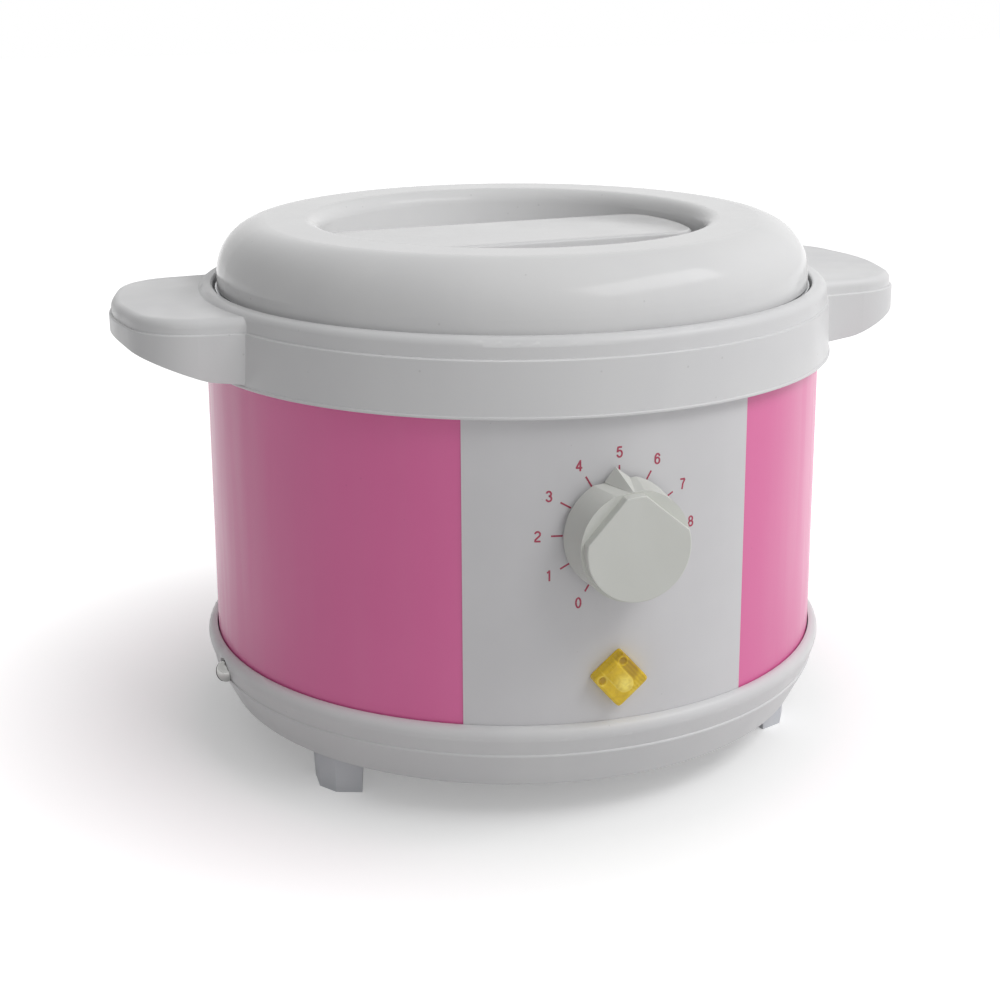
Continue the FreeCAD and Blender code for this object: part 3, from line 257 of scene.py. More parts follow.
@dataclass(frozen=True)
class Moulded:
    """Moulded plastic: flow marks in its colour, rubbed patches, a fine grain and a few dust specks.

    Attributes:
        colour: its colour.
        shade: the colour of its flow marks.
        gloss: roughness, from rubbed to dull.
        grain: height of the grain, in millimetres.
        pitch: size of the grain, in millimetres.
        wave: height of the wall's slow waves, in millimetres.
        depth: share of the light that goes into the surface.
        specks: how far the dust specks show.
        shine: level of its mirror shine.
    """

    colour: Colour
    shade: Colour
    gloss: Span = (0.3, 0.42)
    grain: float = 0.008
    pitch: float = 0.7
    wave: float = 0.04
    depth: float = 0.0
    specks: float = 0.25
    shine: float = 0.5

    def build(self, name: str) -> Material:
        """Makes the material.

        Args:
            name: the material's name.

        Returns:
            The material.
        """
        graph = Graph(name)
        flow = graph.noise(pitch=38, detail=4, stretch=(1, 1, 0.5), twist=0.6)
        body = graph.mixed(graph.span(flow, source=NOISE_MIDDLE), self.colour, self.shade)
        dust = graph.span(graph.cells(pitch=7), low=self.specks, high=0, source=(0.035, 0.06))
        graph.raised(graph.noise(pitch=22, detail=1), self.wave)
        graph.raised(graph.noise(self.pitch, detail=2), self.grain)
        return graph.finish(
            Base_Color=graph.mixed(dust, body, dimmed(self.shade, 0.55)),
            Roughness=graph.span(graph.noise(pitch=11, detail=5), *self.gloss, source=(0.38, 0.62)),
            IOR=1.49,
            Specular_IOR_Level=self.shine,
            Subsurface_Weight=self.depth,
            Subsurface_Radius=(1.0, 0.9, 0.85),
            Subsurface_Scale=1.5 * MM,
        )


@dataclass(frozen=True)
class Enamel:
    """Stoved enamel on steel: a clear gloss over orange peel, with faint wipe marks that run upright.

    Attributes:
        colour: its colour.
        shade: the colour of its clouds.
        gloss: roughness, from wiped to dull.
        coat: share of clear coat.
        peel: height of the orange peel, in millimetres.
        wave: height of the sheet's slow waves, in millimetres.
    """

    colour: Colour
    shade: Colour
    gloss: Span = (0.3, 0.38)
    coat: float = 0.2
    peel: float = 0.006
    wave: float = 0.25

    def build(self, name: str) -> Material:
        """Makes the material.

        Args:
            name: the material's name.

        Returns:
            The material.
        """
        graph = Graph(name)
        cloud = graph.noise(pitch=55, detail=3, stretch=(1, 1, 0.6))
        body = graph.mixed(graph.span(cloud, source=NOISE_MIDDLE), self.colour, self.shade)
        dust = graph.span(graph.cells(pitch=9), low=0.3, high=0, source=(0.02, 0.035))
        wiped = graph.noise(pitch=5, detail=4, stretch=(1, 1, 0.06))
        graph.raised(graph.noise(pitch=70, detail=1), self.wave)
        graph.raised(graph.noise(pitch=1.5, detail=2), self.peel)
        return graph.finish(
            Base_Color=graph.mixed(dust, body, dimmed(self.shade, 0.7)),
            Roughness=graph.span(wiped, *self.gloss, source=(0.4, 0.6)),
            Specular_IOR_Level=0.35,
            Coat_Weight=self.coat,
            Coat_Roughness=0.12,
        )


@dataclass(frozen=True)
class Foil:
    """Satin printed foil: the panel's light grey ground, faintly brushed along its length.

    Attributes:
        colour: its colour.
        shade: the colour of its clouds.
        gloss: roughness, from the brush lines' hollows to their tops.
        lines: height of the brush lines, in millimetres.
        wave: height of the foil's slow waves, in millimetres.
    """

    colour: Colour
    shade: Colour
    gloss: Span = (0.36, 0.48)
    lines: float = 0.004
    wave: float = 0.12

    def build(self, name: str) -> Material:
        """Makes the material.

        Args:
            name: the material's name.

        Returns:
            The material.
        """
        graph = Graph(name)
        brushed = graph.noise(pitch=2.2, detail=5, stretch=(1, 1, 0.04))
        cloud = graph.noise(pitch=30, detail=3)
        body = graph.mixed(graph.span(cloud, source=NOISE_MIDDLE), self.colour, self.shade)
        dust = graph.span(graph.cells(pitch=6), low=0.3, high=0, source=(0.025, 0.04))
        graph.raised(brushed, self.lines)
        graph.raised(graph.noise(pitch=45, detail=1), self.wave)
        return graph.finish(
            Base_Color=graph.mixed(dust, body, dimmed(self.shade, 0.6)),
            Roughness=graph.span(brushed, *self.gloss, source=NOISE_MIDDLE),
            IOR=1.5,
        )


@dataclass(frozen=True)
class Ink:
    """Screen-printed ink, a little uneven in its cover.

    Attributes:
        colour: its colour.
        thin: its colour where it is thin.
        gloss: its range of roughness.
        grain: height of its grain, in millimetres.
    """

    colour: Colour
    thin: Colour
    gloss: Span = (0.45, 0.6)
    grain: float = 0.003

    def build(self, name: str) -> Material:
        """Makes the material.

        Args:
            name: the material's name.

        Returns:
            The material.
        """
        graph = Graph(name)
        cover = graph.span(graph.noise(pitch=0.5, detail=4), source=(0.45, 0.75))
        rough = graph.span(graph.noise(pitch=0.8, detail=2), *self.gloss)
        graph.raised(graph.noise(pitch=0.25, detail=2), self.grain)
        return graph.finish(Base_Color=graph.mixed(cover, self.colour, self.thin), Roughness=rough)


@dataclass(frozen=True)
class Metal:
    """Bare or plated metal with the lines of its making and small stains.

    Attributes:
        colour: its colour.
        stain: the colour of its stains.
        gloss: roughness, from bright to dull.
        lay: how its lines lie.
        relief: height of its lines, in millimetres.
    """

    colour: Colour
    stain: Colour
    gloss: Span = (0.22, 0.4)
    lay: Lay = Lay.NONE
    relief: float = 0.006

    def build(self, name: str) -> Material:
        """Makes the material.

        Args:
            name: the material's name.

        Returns:
            The material.
        """
        graph = Graph(name)
        lines = graph.rings(pitch=0.9) if self.lay is Lay.RINGS else graph.noise(pitch=0.9, detail=4)
        stained = graph.span(graph.noise(pitch=9, detail=5), source=(0.5, 0.72))
        graph.raised(lines, self.relief)
        return graph.finish(
            Base_Color=graph.mixed(stained, self.colour, self.stain),
            Metallic=1.0,
            Roughness=graph.span(lines, *self.gloss),
        )


@dataclass(frozen=True)
class Clear:
    """Clear glass, with faint flow lines.

    Attributes:
        colour: its colour.
        thick: its colour where it is thick.
        gloss: its range of roughness.
        ior: refractive index.
        ripple: height of its ripples, in millimetres.
    """

    colour: Colour
    thick: Colour
    gloss: Span = (0.01, 0.03)
    ior: float = 1.46
    ripple: float = 0.01

    def build(self, name: str) -> Material:
        """Makes the material.

        Args:
            name: the material's name.

        Returns:
            The material.
        """
        graph = Graph(name)
        cloud = graph.span(graph.noise(pitch=3.5, detail=3), source=NOISE_MIDDLE)
        graph.raised(graph.noise(pitch=2.4, detail=2), self.ripple)
        return graph.finish(
            Base_Color=graph.mixed(cloud, self.colour, self.thick),
            Roughness=graph.span(graph.noise(pitch=1.5, detail=3), *self.gloss),
            Transmission_Weight=1.0,
            IOR=self.ior,
        )


@dataclass(frozen=True)
class Amber:
    """Clear amber plastic over pale forms, with painted light: thick parts are deep, thin ones bright, with
    a painted glow.

    Attributes:
        deep: its colour where the mesh's "tone" is nought.
        middle: its colour where that is a half.
        bright: its colour where that is one.
        painted_glow: strength of the painted glow, an emission that stands in for light through the cap.
        gloss: its range of roughness.
        ripple: height of its moulding ripples, in millimetres.
    """

    deep: Colour
    middle: Colour
    bright: Colour
    painted_glow: float = 0.16
    gloss: Span = (0.12, 0.25)
    ripple: float = 0.05

    def build(self, name: str) -> Material:
        """Makes the material.

        Args:
            name: the material's name.

        Returns:
            The material.
        """
        graph = Graph(name)
        # The tone is painted light through the cap: bright where it is thin and over the tube, deep where it
        # is thick.
        tone = graph.attribute("tone")
        low = graph.mixed(graph.span(tone, source=(0, 0.5)), self.deep, self.middle)
        clear = graph.mixed(graph.span(tone, source=(0.5, 1)), low, self.bright)
        streaks = graph.span(graph.noise(pitch=2.2, detail=4, twist=1.2), high=0.35, source=(0.4, 0.75))
        colour = graph.mixed(streaks, clear, self.deep)
        graph.raised(graph.noise(pitch=3, detail=2), self.ripple)
        return graph.finish(
            Base_Color=colour,
            # Painted glow: the cap gives off light in its own colour, standing in for light that passes
            # through it.
            Emission_Color=colour,
            Emission_Strength=self.painted_glow,
            Roughness=graph.span(graph.noise(pitch=1.5, detail=3), *self.gloss),
            Coat_Weight=0.4,
            Coat_Roughness=0.03,
            Specular_IOR_Level=0.2,
        )


@dataclass(frozen=True)
class Wool:
    """Glass wool: tangled fibres, deep and dull.

    Attributes:
        colour: the colour of its upper fibres.
        shade: the colour of its lower ones, a painted shade between the fibres.
        lump: height of its lumps, in millimetres.
        fibre: height of its fibres, in millimetres.
    """

    colour: Colour
    shade: Colour
    lump: float = 2.2
    fibre: float = 0.7

    def build(self, name: str) -> Material:
        """Makes the material.

        Args:
            name: the material's name.

        Returns:
            The material.
        """
        graph = Graph(name)
        fibres = graph.noise(pitch=1.4, detail=6, stretch=(1, 1, 0.35), twist=2.5)
        # Painted shade: the colour follows the fibres' relief, darker where they lie low.
        colour = graph.mixed(graph.span(fibres, source=NOISE_MIDDLE), self.shade, self.colour)
        graph.raised(graph.noise(pitch=8, detail=3), self.lump)
        graph.raised(fibres, self.fibre)
        return graph.finish(Base_Color=colour, Roughness=0.95, Sheen_Weight=0.3)


Finish: TypeAlias = Moulded | Enamel | Foil | Ink | Metal | Clear | Amber | Wool

FINISHES: dict[str, Finish] = {
    "body_paint": Enamel((0.82, 0.165, 0.405), (0.78, 0.15, 0.38)),
    "panel_print": Foil((0.70, 0.695, 0.71), (0.67, 0.665, 0.68)),
    "dial_ink": Ink((0.42, 0.045, 0.095), (0.50, 0.12, 0.17)),
    "white_plastic": Moulded((0.75, 0.75, 0.755), (0.72, 0.72, 0.73), grain=0.012, pitch=0.9, shine=0.35),
    "lid_plastic": Moulded(
        (0.78, 0.78, 0.782), (0.75, 0.75, 0.755), gloss=(0.1, 0.18), wave=0.05, shine=0.2
    ),
    "knob_plastic": Moulded(
        (0.69, 0.70, 0.665), (0.655, 0.665, 0.625), gloss=(0.4, 0.5), depth=0.1, wave=0.02, specks=0
    ),
    "foot_plastic": Moulded((0.72, 0.73, 0.76), (0.64, 0.65, 0.69), gloss=(0.45, 0.6), depth=0.15),
    "bright_steel": Metal((0.40, 0.40, 0.39), (0.26, 0.26, 0.25), gloss=(0.1, 0.25)),
    "plated_steel": Metal((0.62, 0.63, 0.65), (0.48, 0.46, 0.42), gloss=(0.25, 0.42)),
    "aluminium": Metal(
        (0.55, 0.56, 0.57), (0.51, 0.51, 0.52), gloss=(0.26, 0.42), lay=Lay.RINGS, relief=0.01
    ),
    "lamp_amber": Amber((0.30, 0.16, 0.0), (0.66, 0.45, 0.01), (0.92, 0.76, 0.16)),
    "lamp_white": Moulded((0.72, 0.70, 0.64), (0.66, 0.64, 0.58)),
    "clear_glass": Clear((0.96, 0.97, 0.96), (0.92, 0.93, 0.90)),
    "dark_plastic": Moulded((0.035, 0.03, 0.028), (0.055, 0.045, 0.04), gloss=(0.35, 0.5)),
    "ceramic": Moulded((0.66, 0.63, 0.56), (0.56, 0.52, 0.45), gloss=(0.25, 0.4), grain=0.02, specks=0.6),
    "brass": Metal((0.72, 0.52, 0.22), (0.48, 0.32, 0.13), gloss=(0.2, 0.36)),
    "copper": Metal((0.74, 0.38, 0.24), (0.42, 0.20, 0.13), gloss=(0.2, 0.38)),
    "rubber": Moulded(
        (0.022, 0.022, 0.024), (0.04, 0.04, 0.042), gloss=(0.55, 0.75), grain=0.02, wave=0.02
    ),
    "glass_wool": Wool((0.74, 0.66, 0.42), (0.44, 0.37, 0.2)),
    "wire_brown": Moulded((0.16, 0.06, 0.03), (0.12, 0.045, 0.025), gloss=(0.4, 0.5)),
    "wire_blue": Moulded((0.03, 0.10, 0.42), (0.025, 0.08, 0.34), gloss=(0.4, 0.5)),
    "wire_green": Moulded((0.05, 0.33, 0.07), (0.55, 0.50, 0.04), gloss=(0.4, 0.5)),
    "wire_white": Moulded((0.70, 0.69, 0.65), (0.60, 0.58, 0.53), gloss=(0.5, 0.65)),
}


class Palette:
    """The finished materials, each made once."""

    def __init__(self, finishes: dict[str, Finish]) -> None:
        """Builds one material for each named finish."""
        self.materials = {name: finish.build(f"{name}_finish") for name, finish in finishes.items()}

    def coat(self, item: bpy.types.Object, name: str) -> None:
        """Gives an object this finish alone."""
        item.data.materials.clear()
        item.data.materials.append(self.materials[name])


# ---------------------------------------------------------------- shapes

# Points closer than this are one, and edges shorter than this are taken out, in metres.
JOIN_WITHIN = 1e-7
SHORTEST_EDGE = 1e-8


@dataclass(frozen=True)
class Surface:
    """A grid of points in millimetres, rows by columns, with what its edges join.

    Attributes:
        points: rows x columns x 3.
        wrap_rows: whether the last row joins the first.
        wrap_columns: whether the last column joins the first.
    """

    points: Array
    wrap_rows: bool = False
    wrap_columns: bool = True

    def corners(self) -> Array:
        """Joins neighbouring points of the grid to faces.

        Returns:
            Four point numbers for each face, in order round it.
        """
        rows, columns = self.points.shape[:2]
        grid = np.arange(rows * columns).reshape(rows, columns)
        if self.wrap_rows:
            grid = np.vstack([grid, grid[:1]])
        if self.wrap_columns:
            grid = np.hstack([grid, grid[:, :1]])
        around = [grid[:-1, :-1], grid[:-1, 1:], grid[1:, 1:], grid[1:, :-1]]
        return np.stack(around, -1).reshape(-1, 4)

    def outward(self) -> Array:
        """The grid's faces, turned round if their signed volume is negative.

        The volume is a sixth of the sum, over each face's two triangles, of one corner dotted with the
        cross product of the other two. Only its sign counts here.

        Returns:
            Four point numbers for each face, in order round it.
        """
        faces = self.corners()
        flat = self.points.reshape(-1, 3)
        a, b, c, d = (flat[faces[:, i]] for i in range(4))
        volume = np.einsum("ij,ij", a, np.cross(b, c)) + np.einsum("ij,ij", a, np.cross(c, d))
        return faces if volume > 0 else faces[:, ::-1]


def make_mesh(name: str, surfaces: Iterable[Surface], crease: float = 32.0) -> bpy.types.Mesh:
    """One closed, smooth mesh from one or more surfaces.

    Args:
        name: the mesh's name.
        surfaces: the surfaces; points that coincide within a surface are joined, and open ends are filled.
        crease: edges that turn by more than this many degrees stay sharp.

    Returns:
        The mesh, in metres.
    """
    whole = bmesh.new()
    for surface in surfaces:
        part = bpy.data.meshes.new(name)
        part.from_pydata((surface.points.reshape(-1, 3) * MM).tolist(), [], surface.outward().tolist())
        shell = bmesh.new()
        shell.from_mesh(part)
        bmesh.ops.remove_doubles(shell, verts=shell.verts, dist=JOIN_WITHIN)
        bmesh.ops.dissolve_degenerate(shell, edges=shell.edges, dist=SHORTEST_EDGE)
        bmesh.ops.holes_fill(shell, edges=[edge for edge in shell.edges if edge.is_boundary], sides=0)
        shell.to_mesh(part)
        shell.free()
        whole.from_mesh(part)
        bpy.data.meshes.remove(part)
    mesh = bpy.data.meshes.new(name)
    whole.to_mesh(mesh)
    whole.free()
    mesh.shade_smooth()
    mesh.set_sharp_from_angle(angle=np.radians(crease))
    return mesh


def unit(vectors: Array) -> Array:
    """The vectors, each divided by its length."""
    return vectors / np.linalg.norm(vectors, axis=-1, keepdims=True)


def within(distance: Array, edge: float, soft: float) -> Array:
    """One inside the edge and nought outside: 1 / (1 + exp((distance - edge) / soft))."""
    return 1 / (1 + np.exp((distance - edge) / soft))


def bell(distance: Array, width: float) -> Array:
    """A bell curve, exp(-(distance / width) ^ 2)."""
    return np.exp(-((distance / width) ** 2))


def arc(centre: Span, radii: Span, start: float, end: float, steps: int = 20) -> Array:
    """Points on an ellipse's arc: the centre plus the radii times the cosine and sine of even angles.

    Args:
        centre: the ellipse's centre.
        radii: its half width and half height.
        start: the first angle, in degrees.
        end: the last angle, in degrees.
        steps: how many steps lie between them.

    Returns:
        The points as rows of x and y.
    """
    angle = np.radians(np.linspace(start, end, steps + 1))
    return np.array(centre) + np.stack([radii[0] * np.cos(angle), radii[1] * np.sin(angle)], -1)


def run(*points: Span, steps: int = 4) -> Array:
    """Points in even steps along straight runs from each point to the next.

    Args:
        *points: the ends of the runs.
        steps: how many steps a run has.

    Returns:
        The points as rows of x and y.
    """
    whole = np.array(points, float)
    place = np.linspace(0, len(points) - 1, steps * (len(points) - 1) + 1)
    return np.stack([np.interp(place, np.arange(len(points)), column) for column in whole.T], -1)


# ---------------------------------------------------------------- pieces


@dataclass
class SubAssembly:
    """A group of pieces that ride on one body; each kind builds its own and reports them.

    Attributes:
        palette: the finishes.
        body: the body that the pieces ride on.
        pieces: what has been made.
    """

    palette: Palette
    body: str = "housing"
    pieces: list[bpy.types.Object] = field(default_factory=list)

    def add(self, name: str, mesh: bpy.types.Mesh, finish: str, slot: str, *nodes: str) -> None:
        """Makes a piece of a mesh that is in its place.

        Args:
            name: the piece's name.
            mesh: its mesh, in metres, in the frame's axes.
            finish: name of its finish.
            slot: the record's material slot that it takes after; not used.
            *nodes: CAD nodes that it stands for.
        """
        piece = bpy.data.objects.new(name, mesh)
        bpy.context.scene.collection.objects.link(piece)
        self.palette.coat(piece, finish)
        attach(piece, self.body)
        if nodes:
            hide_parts(*nodes)
        self.pieces.append(piece)

    def build(self) -> None:
        """Makes this group's pieces."""
        raise NotImplementedError

    def report(self) -> None:
        """Logs each piece with its triangles."""
        for piece in self.pieces:
            piece.data.calc_loop_triangles()
            triangles = len(piece.data.loop_triangles)
            LOG.info("%s: %s, %d triangles", type(self).__name__, piece.name, triangles)


@dataclass
class CarriedNodes(SubAssembly):
    """The CAD nodes whose shape stays: each gets the finish of its slot."""

    def build(self) -> None:
        """Dresses every node of the frame."""
        slots = {part["node"]: part["material_slot"] for part in frame["record"]["subparts"]}
        for node, item in frame["nodes"].items():
            self.palette.coat(item, slots[node])
        LOG.info("CarriedNodes: %d nodes dressed", len(slots))


# Middle lines of the numbers' strokes, in a box one unit high about its centre.
STROKES: dict[str, list[Array]] = {
    "0": [arc((0, 0), (0.21, 0.44), 0, 360, 40)],
    "1": [run((0.07, -0.5), (0.07, 0.5)), run((-0.15, 0.27), (0.0, 0.32), (0.07, 0.46))],
    "2": [
        np.vstack([arc((0, 0.21), (0.22, 0.23), 172, -28), run((0.17, 0.06), (-0.2, -0.3), (-0.22, -0.5))]),
        run((-0.22, -0.44), (0.26, -0.44)),
    ],
    "3": [
        arc((0, 0.225), (0.2, 0.215), 168, -95),
        arc((0, -0.2), (0.225, 0.24), 95, -168),
    ],
    "4": [
        run((0.09, -0.5), (0.09, 0.5)),
        run((0.09, 0.44), (-0.26, -0.2)),
        run((-0.3, -0.2), (0.27, -0.2)),
    ],
    "5": [
        run((0.22, 0.44), (-0.15, 0.44), (-0.2, -0.02)),
        arc((0, -0.15), (0.225, 0.29), 148, -166),
    ],
    "6": [
        arc((0, -0.17), (0.215, 0.27), 0, 360, 32),
        arc((0.02, 0), (0.235, 0.44), 28, 200),
    ],
    "7": [run((-0.25, 0.44), (0.24, 0.44)), run((0.23, 0.42), (0.03, 0.02), (-0.06, -0.5))],
    "8": [arc((0, 0.225), (0.185, 0.215), 0, 360, 32), arc((0, -0.205), (0.22, 0.235), 0, 360, 32)],
}


@dataclass
class Dial(SubAssembly):
    """The printed dial round the knob: nine numbers, and a tick for each.

    Lengths are in millimetres and angles in degrees.

    Attributes:
        first_angle: clock angle of the first number.
        step: from one number to the next.
        number_circle: radius of the circle that the numbers stand on.
        number_height: their height.
        tick_reach: radii of the ticks' inner and outer ends.
        tick_points: points along a tick.
        stroke_width: width of a number's stroke.
        tick_width: width of a tick.
        ink: thickness of the ink.
        clear: its clearance over the panel.
    """

    first_angle: float = -150.0
    step: float = 30.0
    number_circle: float = 23.5
    number_height: float = 3.25
    tick_reach: Span = (16.2, 19.7)
    tick_points: int = 7
    stroke_width: float = 0.52
    tick_width: float = 0.5
    ink: float = 0.03
    clear: float = 0.01

    def __post_init__(self) -> None:
        """Reads the panel's radius and the knob's level from the frame."""
        low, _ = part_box("front_panel")
        spindle_low, spindle_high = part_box("thermostat_spindle")
        self.radius = -low.y / MM
        self.level = (spindle_low.z + spindle_high.z) / 2 / MM

    def printed(self, line: Array, width: float) -> Surface:
        """A printed stroke on the panel.

        Half the width lies on each side of the line, along its normal. The distance along X becomes an
        angle, distance / radius, and the ink's thickness adds to the radius.

        Args:
            line: rows of x and z about the knob's axis, in millimetres; a loop ends where it starts.
            width: width of the stroke.

        Returns:
            The surface.
        """
        loop = bool(np.allclose(line[0], line[-1]))
        ahead = np.gradient(line, axis=0)
        if loop:
            ahead[0] = ahead[-1] = ahead[0] + ahead[-1]
        normal = unit(np.stack([-ahead[:, 1], ahead[:, 0]], -1))
        across = np.array([-0.5, 0.5, 0.5, -0.5])[:, None] * width
        flat = line[:, None] + normal[:, None] * across
        reach = self.radius + self.clear + np.array([0, 0, 1, 1]) * self.ink
        angle = flat[..., 0] / self.radius
        points = np.stack([reach * np.sin(angle), -reach * np.cos(angle), self.level + flat[..., 1]], -1)
        return Surface(points[:-1] if loop else points, wrap_rows=loop)

    def build(self) -> None:
        """Prints the numbers and the ticks."""
        numbers, ticks = [], []
        for text, strokes in STROKES.items():
            angle = np.radians(self.first_angle + self.step * int(text))
            outward = np.array([np.sin(angle), np.cos(angle)])
            tick = np.linspace(*self.tick_reach, self.tick_points)[:, None] * outward
            ticks.append(self.printed(tick, self.tick_width))
            centre = self.number_circle * outward
            for stroke in strokes:
                numbers.append(self.printed(centre + self.number_height * stroke, self.stroke_width))
        self.add("dial_numbers", make_mesh("dial_numbers", numbers), "dial_ink", "panel_print")
        self.add("dial_ticks", make_mesh("dial_ticks", ticks), "dial_ink", "panel_print")


@dataclass(frozen=True)
class PaintedLensLight:
    """Painted light through the lamp's cap: how bright the forms under it show, from nought to one.

    Attributes:
        bed: the bed beside the tube.
        bed_slope: what it loses for each millimetre across, a painted shade that grows towards the upper
            right.
        bed_far: what it gains past its far edge, painted light.
        lines: depth of the bed's fine lines.
        line_turn: radians of their cosine for each millimetre across.
        tube: the neon tube.
        tube_slope: what it loses for each millimetre behind its tip.
        tube_highlight: what the painted highlight on its edge adds.
        glow: what the painted glow at its tip adds.
        pin: the pins.
        pin_highlight: what the painted highlights on their edges add.
        sides: the cap's sides.
    """

    bed: float = 0.34
    bed_slope: float = 0.035
    bed_far: float = 0.28
    lines: float = 0.07
    line_turn: float = 6.0
    tube: float = 0.62
    tube_slope: float = 0.03
    tube_highlight: float = 0.22
    glow: float = 0.4
    pin: float = 0.12
    pin_highlight: float = 0.3
    sides: float = 0.45


@dataclass
class PilotLamp(SubAssembly):
    """The pilot lamp's amber cap: a square on its corner, over the neon tube and two pins that show through,
    with the light through it painted.

    Along is the direction from the upper left side to the lower right one, and across runs to the upper
    right. Lengths are in millimetres.

    Attributes:
        turn: the square's turn, in degrees.
        squareness: power of the outline's formula; a large one makes sharp corners.
        spare: how much its half side is over what the frame's box gives.
        bevel: width of the bevel round the face.
        heel: length of the last straight stretch in front of the rear.
        relief: how far the tube swells the face.
        fade: share of the half side over which that swell ends at the bevel.
        side_tones: distances behind the front between which the tone goes over to the sides' own.
        tube: radius of the tube.
        tip: how far the centre of its round tip lies past the middle.
        glow: reach of the painted glow at the tube's tip, along and across.
        rim: width of the painted highlight on the tube's edge.
        bed_edge: where the bed's brighter far part, which is painted light, begins, along.
        bed_slant: how much nearer that is for each millimetre across.
        bed_soft: softness of that edge.
        pins: distance of the pins from the middle, along and across.
        pit: their radius.
        pit_depth: their depth.
        pit_rim: radius and width of the painted highlights on their edges.
        soft: softness of the other edges.
        painted_light: the painted light of each form.
        points_round: points round the cap.
        points_out: points from the middle of the face to the bevel.
        points_bevel: points round the bevel.
    """

    turn: float = 41.0
    squareness: float = 12.0
    spare: float = 0.1
    bevel: float = 0.9
    heel: float = 1.0
    relief: float = 0.35
    fade: float = 0.06
    side_tones: Span = (0.8, 2.0)
    tube: float = 2.5
    tip: float = 1.6
    glow: Span = (2.4, 2.0)
    rim: float = 0.22
    bed_edge: float = 4.2
    bed_slant: float = 0.5
    bed_soft: float = 0.3
    pins: float = 4.2
    pit: float = 1.25
    pit_depth: float = 0.45
    pit_rim: Span = (1.4, 0.2)
    soft: float = 0.12
    painted_light: PaintedLensLight = PaintedLensLight()
    points_round: int = 160
    points_out: int = 44
    points_bevel: int = 8

    def __post_init__(self) -> None:
        """Reads the cap's place and size from the frame."""
        low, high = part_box("lamp_lens")
        self.centre = np.array([(low.x + high.x) / 2, (low.z + high.z) / 2]) / MM
        self.front, self.back = low.y / MM, high.y / MM
        turn = np.radians(self.turn)
        self.along = np.array([np.sin(turn), -np.cos(turn)])
        self.across = np.array([np.cos(turn), np.sin(turn)])
        self.half = (high.x - low.x) / 2 / MM / (np.sin(turn) + np.cos(turn)) + self.spare

    def forms(self, along: Array, across: Array) -> tuple[Array, Array]:
        """What shows through the cap's face.

        The tube is a stadium: the distance from its axis is the across distance, and past the tip's
        centre the distance from that centre. Each pin is a round pit. The tone is painted light: a glow at
        the tube's tip and highlights on its edge and on the pins' edges, and the bed beside it is deep, with
        painted shade that grows towards the upper right, and finely lined.

        Args:
            along: distances in millimetres.
            across: distances in millimetres.

        Returns:
            The face's height in millimetres and its tone, the painted light, from 0 to 1.
        """
        painted_light = self.painted_light
        aside = np.hypot(across, np.maximum(along - self.tip, 0))
        inside = within(aside, self.tube, self.soft)
        # Painted glow at the tube's tip.
        glow = bell(along - self.tip, self.glow[0]) * bell(across, self.glow[1])
        pin = np.hypot(along + self.pins, np.abs(across) - self.pins)
        pit = within(pin, self.pit, self.soft)
        far = 1 - within(along + self.bed_slant * across, self.bed_edge, self.bed_soft)
        # Painted shade: the bed darkens towards the upper right, and its far part gets painted light.
        bed = painted_light.bed - painted_light.bed_slope * across + painted_light.bed_far * far
        bed -= painted_light.lines * (across > 0) * np.cos(painted_light.line_turn * across)
        tube = painted_light.tube + painted_light.glow * glow - painted_light.tube_slope * (self.tip - along).clip(0)
        tone = bed + inside * (tube - bed)
        # Painted highlights on the edges of the tube and the pins.
        tone += painted_light.tube_highlight * bell(aside - self.tube, self.rim) + pit * (painted_light.pin - tone)
        tone += painted_light.pin_highlight * bell(pin - self.pit_rim[0], self.pit_rim[1])
        dome = np.sqrt(np.clip(1 - (aside / self.tube) ** 2, 0, 1))
        return self.relief * inside * dome - self.pit_depth * pit, np.clip(tone, 0, 1)

    def build(self) -> None:
        """Makes the cap.

        Rows run from the middle of the face out to its edge, round the bevel, back along the sides and in
        to the middle of the back. A row at share s and angle t lies at s times half the side times the unit
        square's reach, which is 1 / (|cos t| ^ n + |sin t| ^ n) ^ (1 / n), with n the squareness. The bevel
        is a quarter of a circle. Each point of the mesh then gets its tone, the painted light through the
        cap, from its place.
        """
        angle = np.linspace(0, 2 * np.pi, self.points_round, endpoint=False)
        n = self.squareness
        reach = self.half / (np.abs(np.cos(angle)) ** n + np.abs(np.sin(angle)) ** n) ** (1 / n)
        flat_share = 1 - self.bevel / self.half
        curve = np.radians(np.linspace(0, 90, self.points_bevel + 1))[1:]
        face = np.linspace(0, flat_share, self.points_out)
        share = np.concatenate([face, flat_share + (1 - flat_share) * np.sin(curve), [1, 1, 0]])
        level = self.front + self.relief + np.concatenate([0 * face, self.bevel * (1 - np.cos(curve))])
        level = np.concatenate([level, [self.back - self.heel, self.back, self.back]])
        along = share[:, None] * reach * np.cos(angle)
        across = share[:, None] * reach * np.sin(angle)
        height, _ = self.forms(along, across)
        swell = height * np.clip((flat_share - share) / self.fade, 0, 1)[:, None]
        swell[len(face):] = 0
        flat = self.centre + along[..., None] * self.along + across[..., None] * self.across
        points = np.stack([flat[..., 0], level[:, None] - swell, flat[..., 1]], -1)
        mesh = make_mesh("pilot_lens", [Surface(points)], crease=50)
        place = np.empty(len(mesh.vertices) * 3)
        mesh.vertices.foreach_get("co", place)
        place = place.reshape(-1, 3) / MM
        offset = place[:, [0, 2]] - self.centre
        _, tone = self.forms(offset @ self.along, offset @ self.across)
        side = np.interp(place[:, 1] - self.front, self.side_tones, (0, 1))
        tone += side * (self.painted_light.sides - tone)
        # The tone, painted light through the cap, goes to the material as a value on each point.
        mesh.attributes.new("tone", "FLOAT", "POINT").data.foreach_set("value", tone)
        self.add("pilot_lens", mesh, "lamp_amber", "lamp_amber", "lamp_lens")


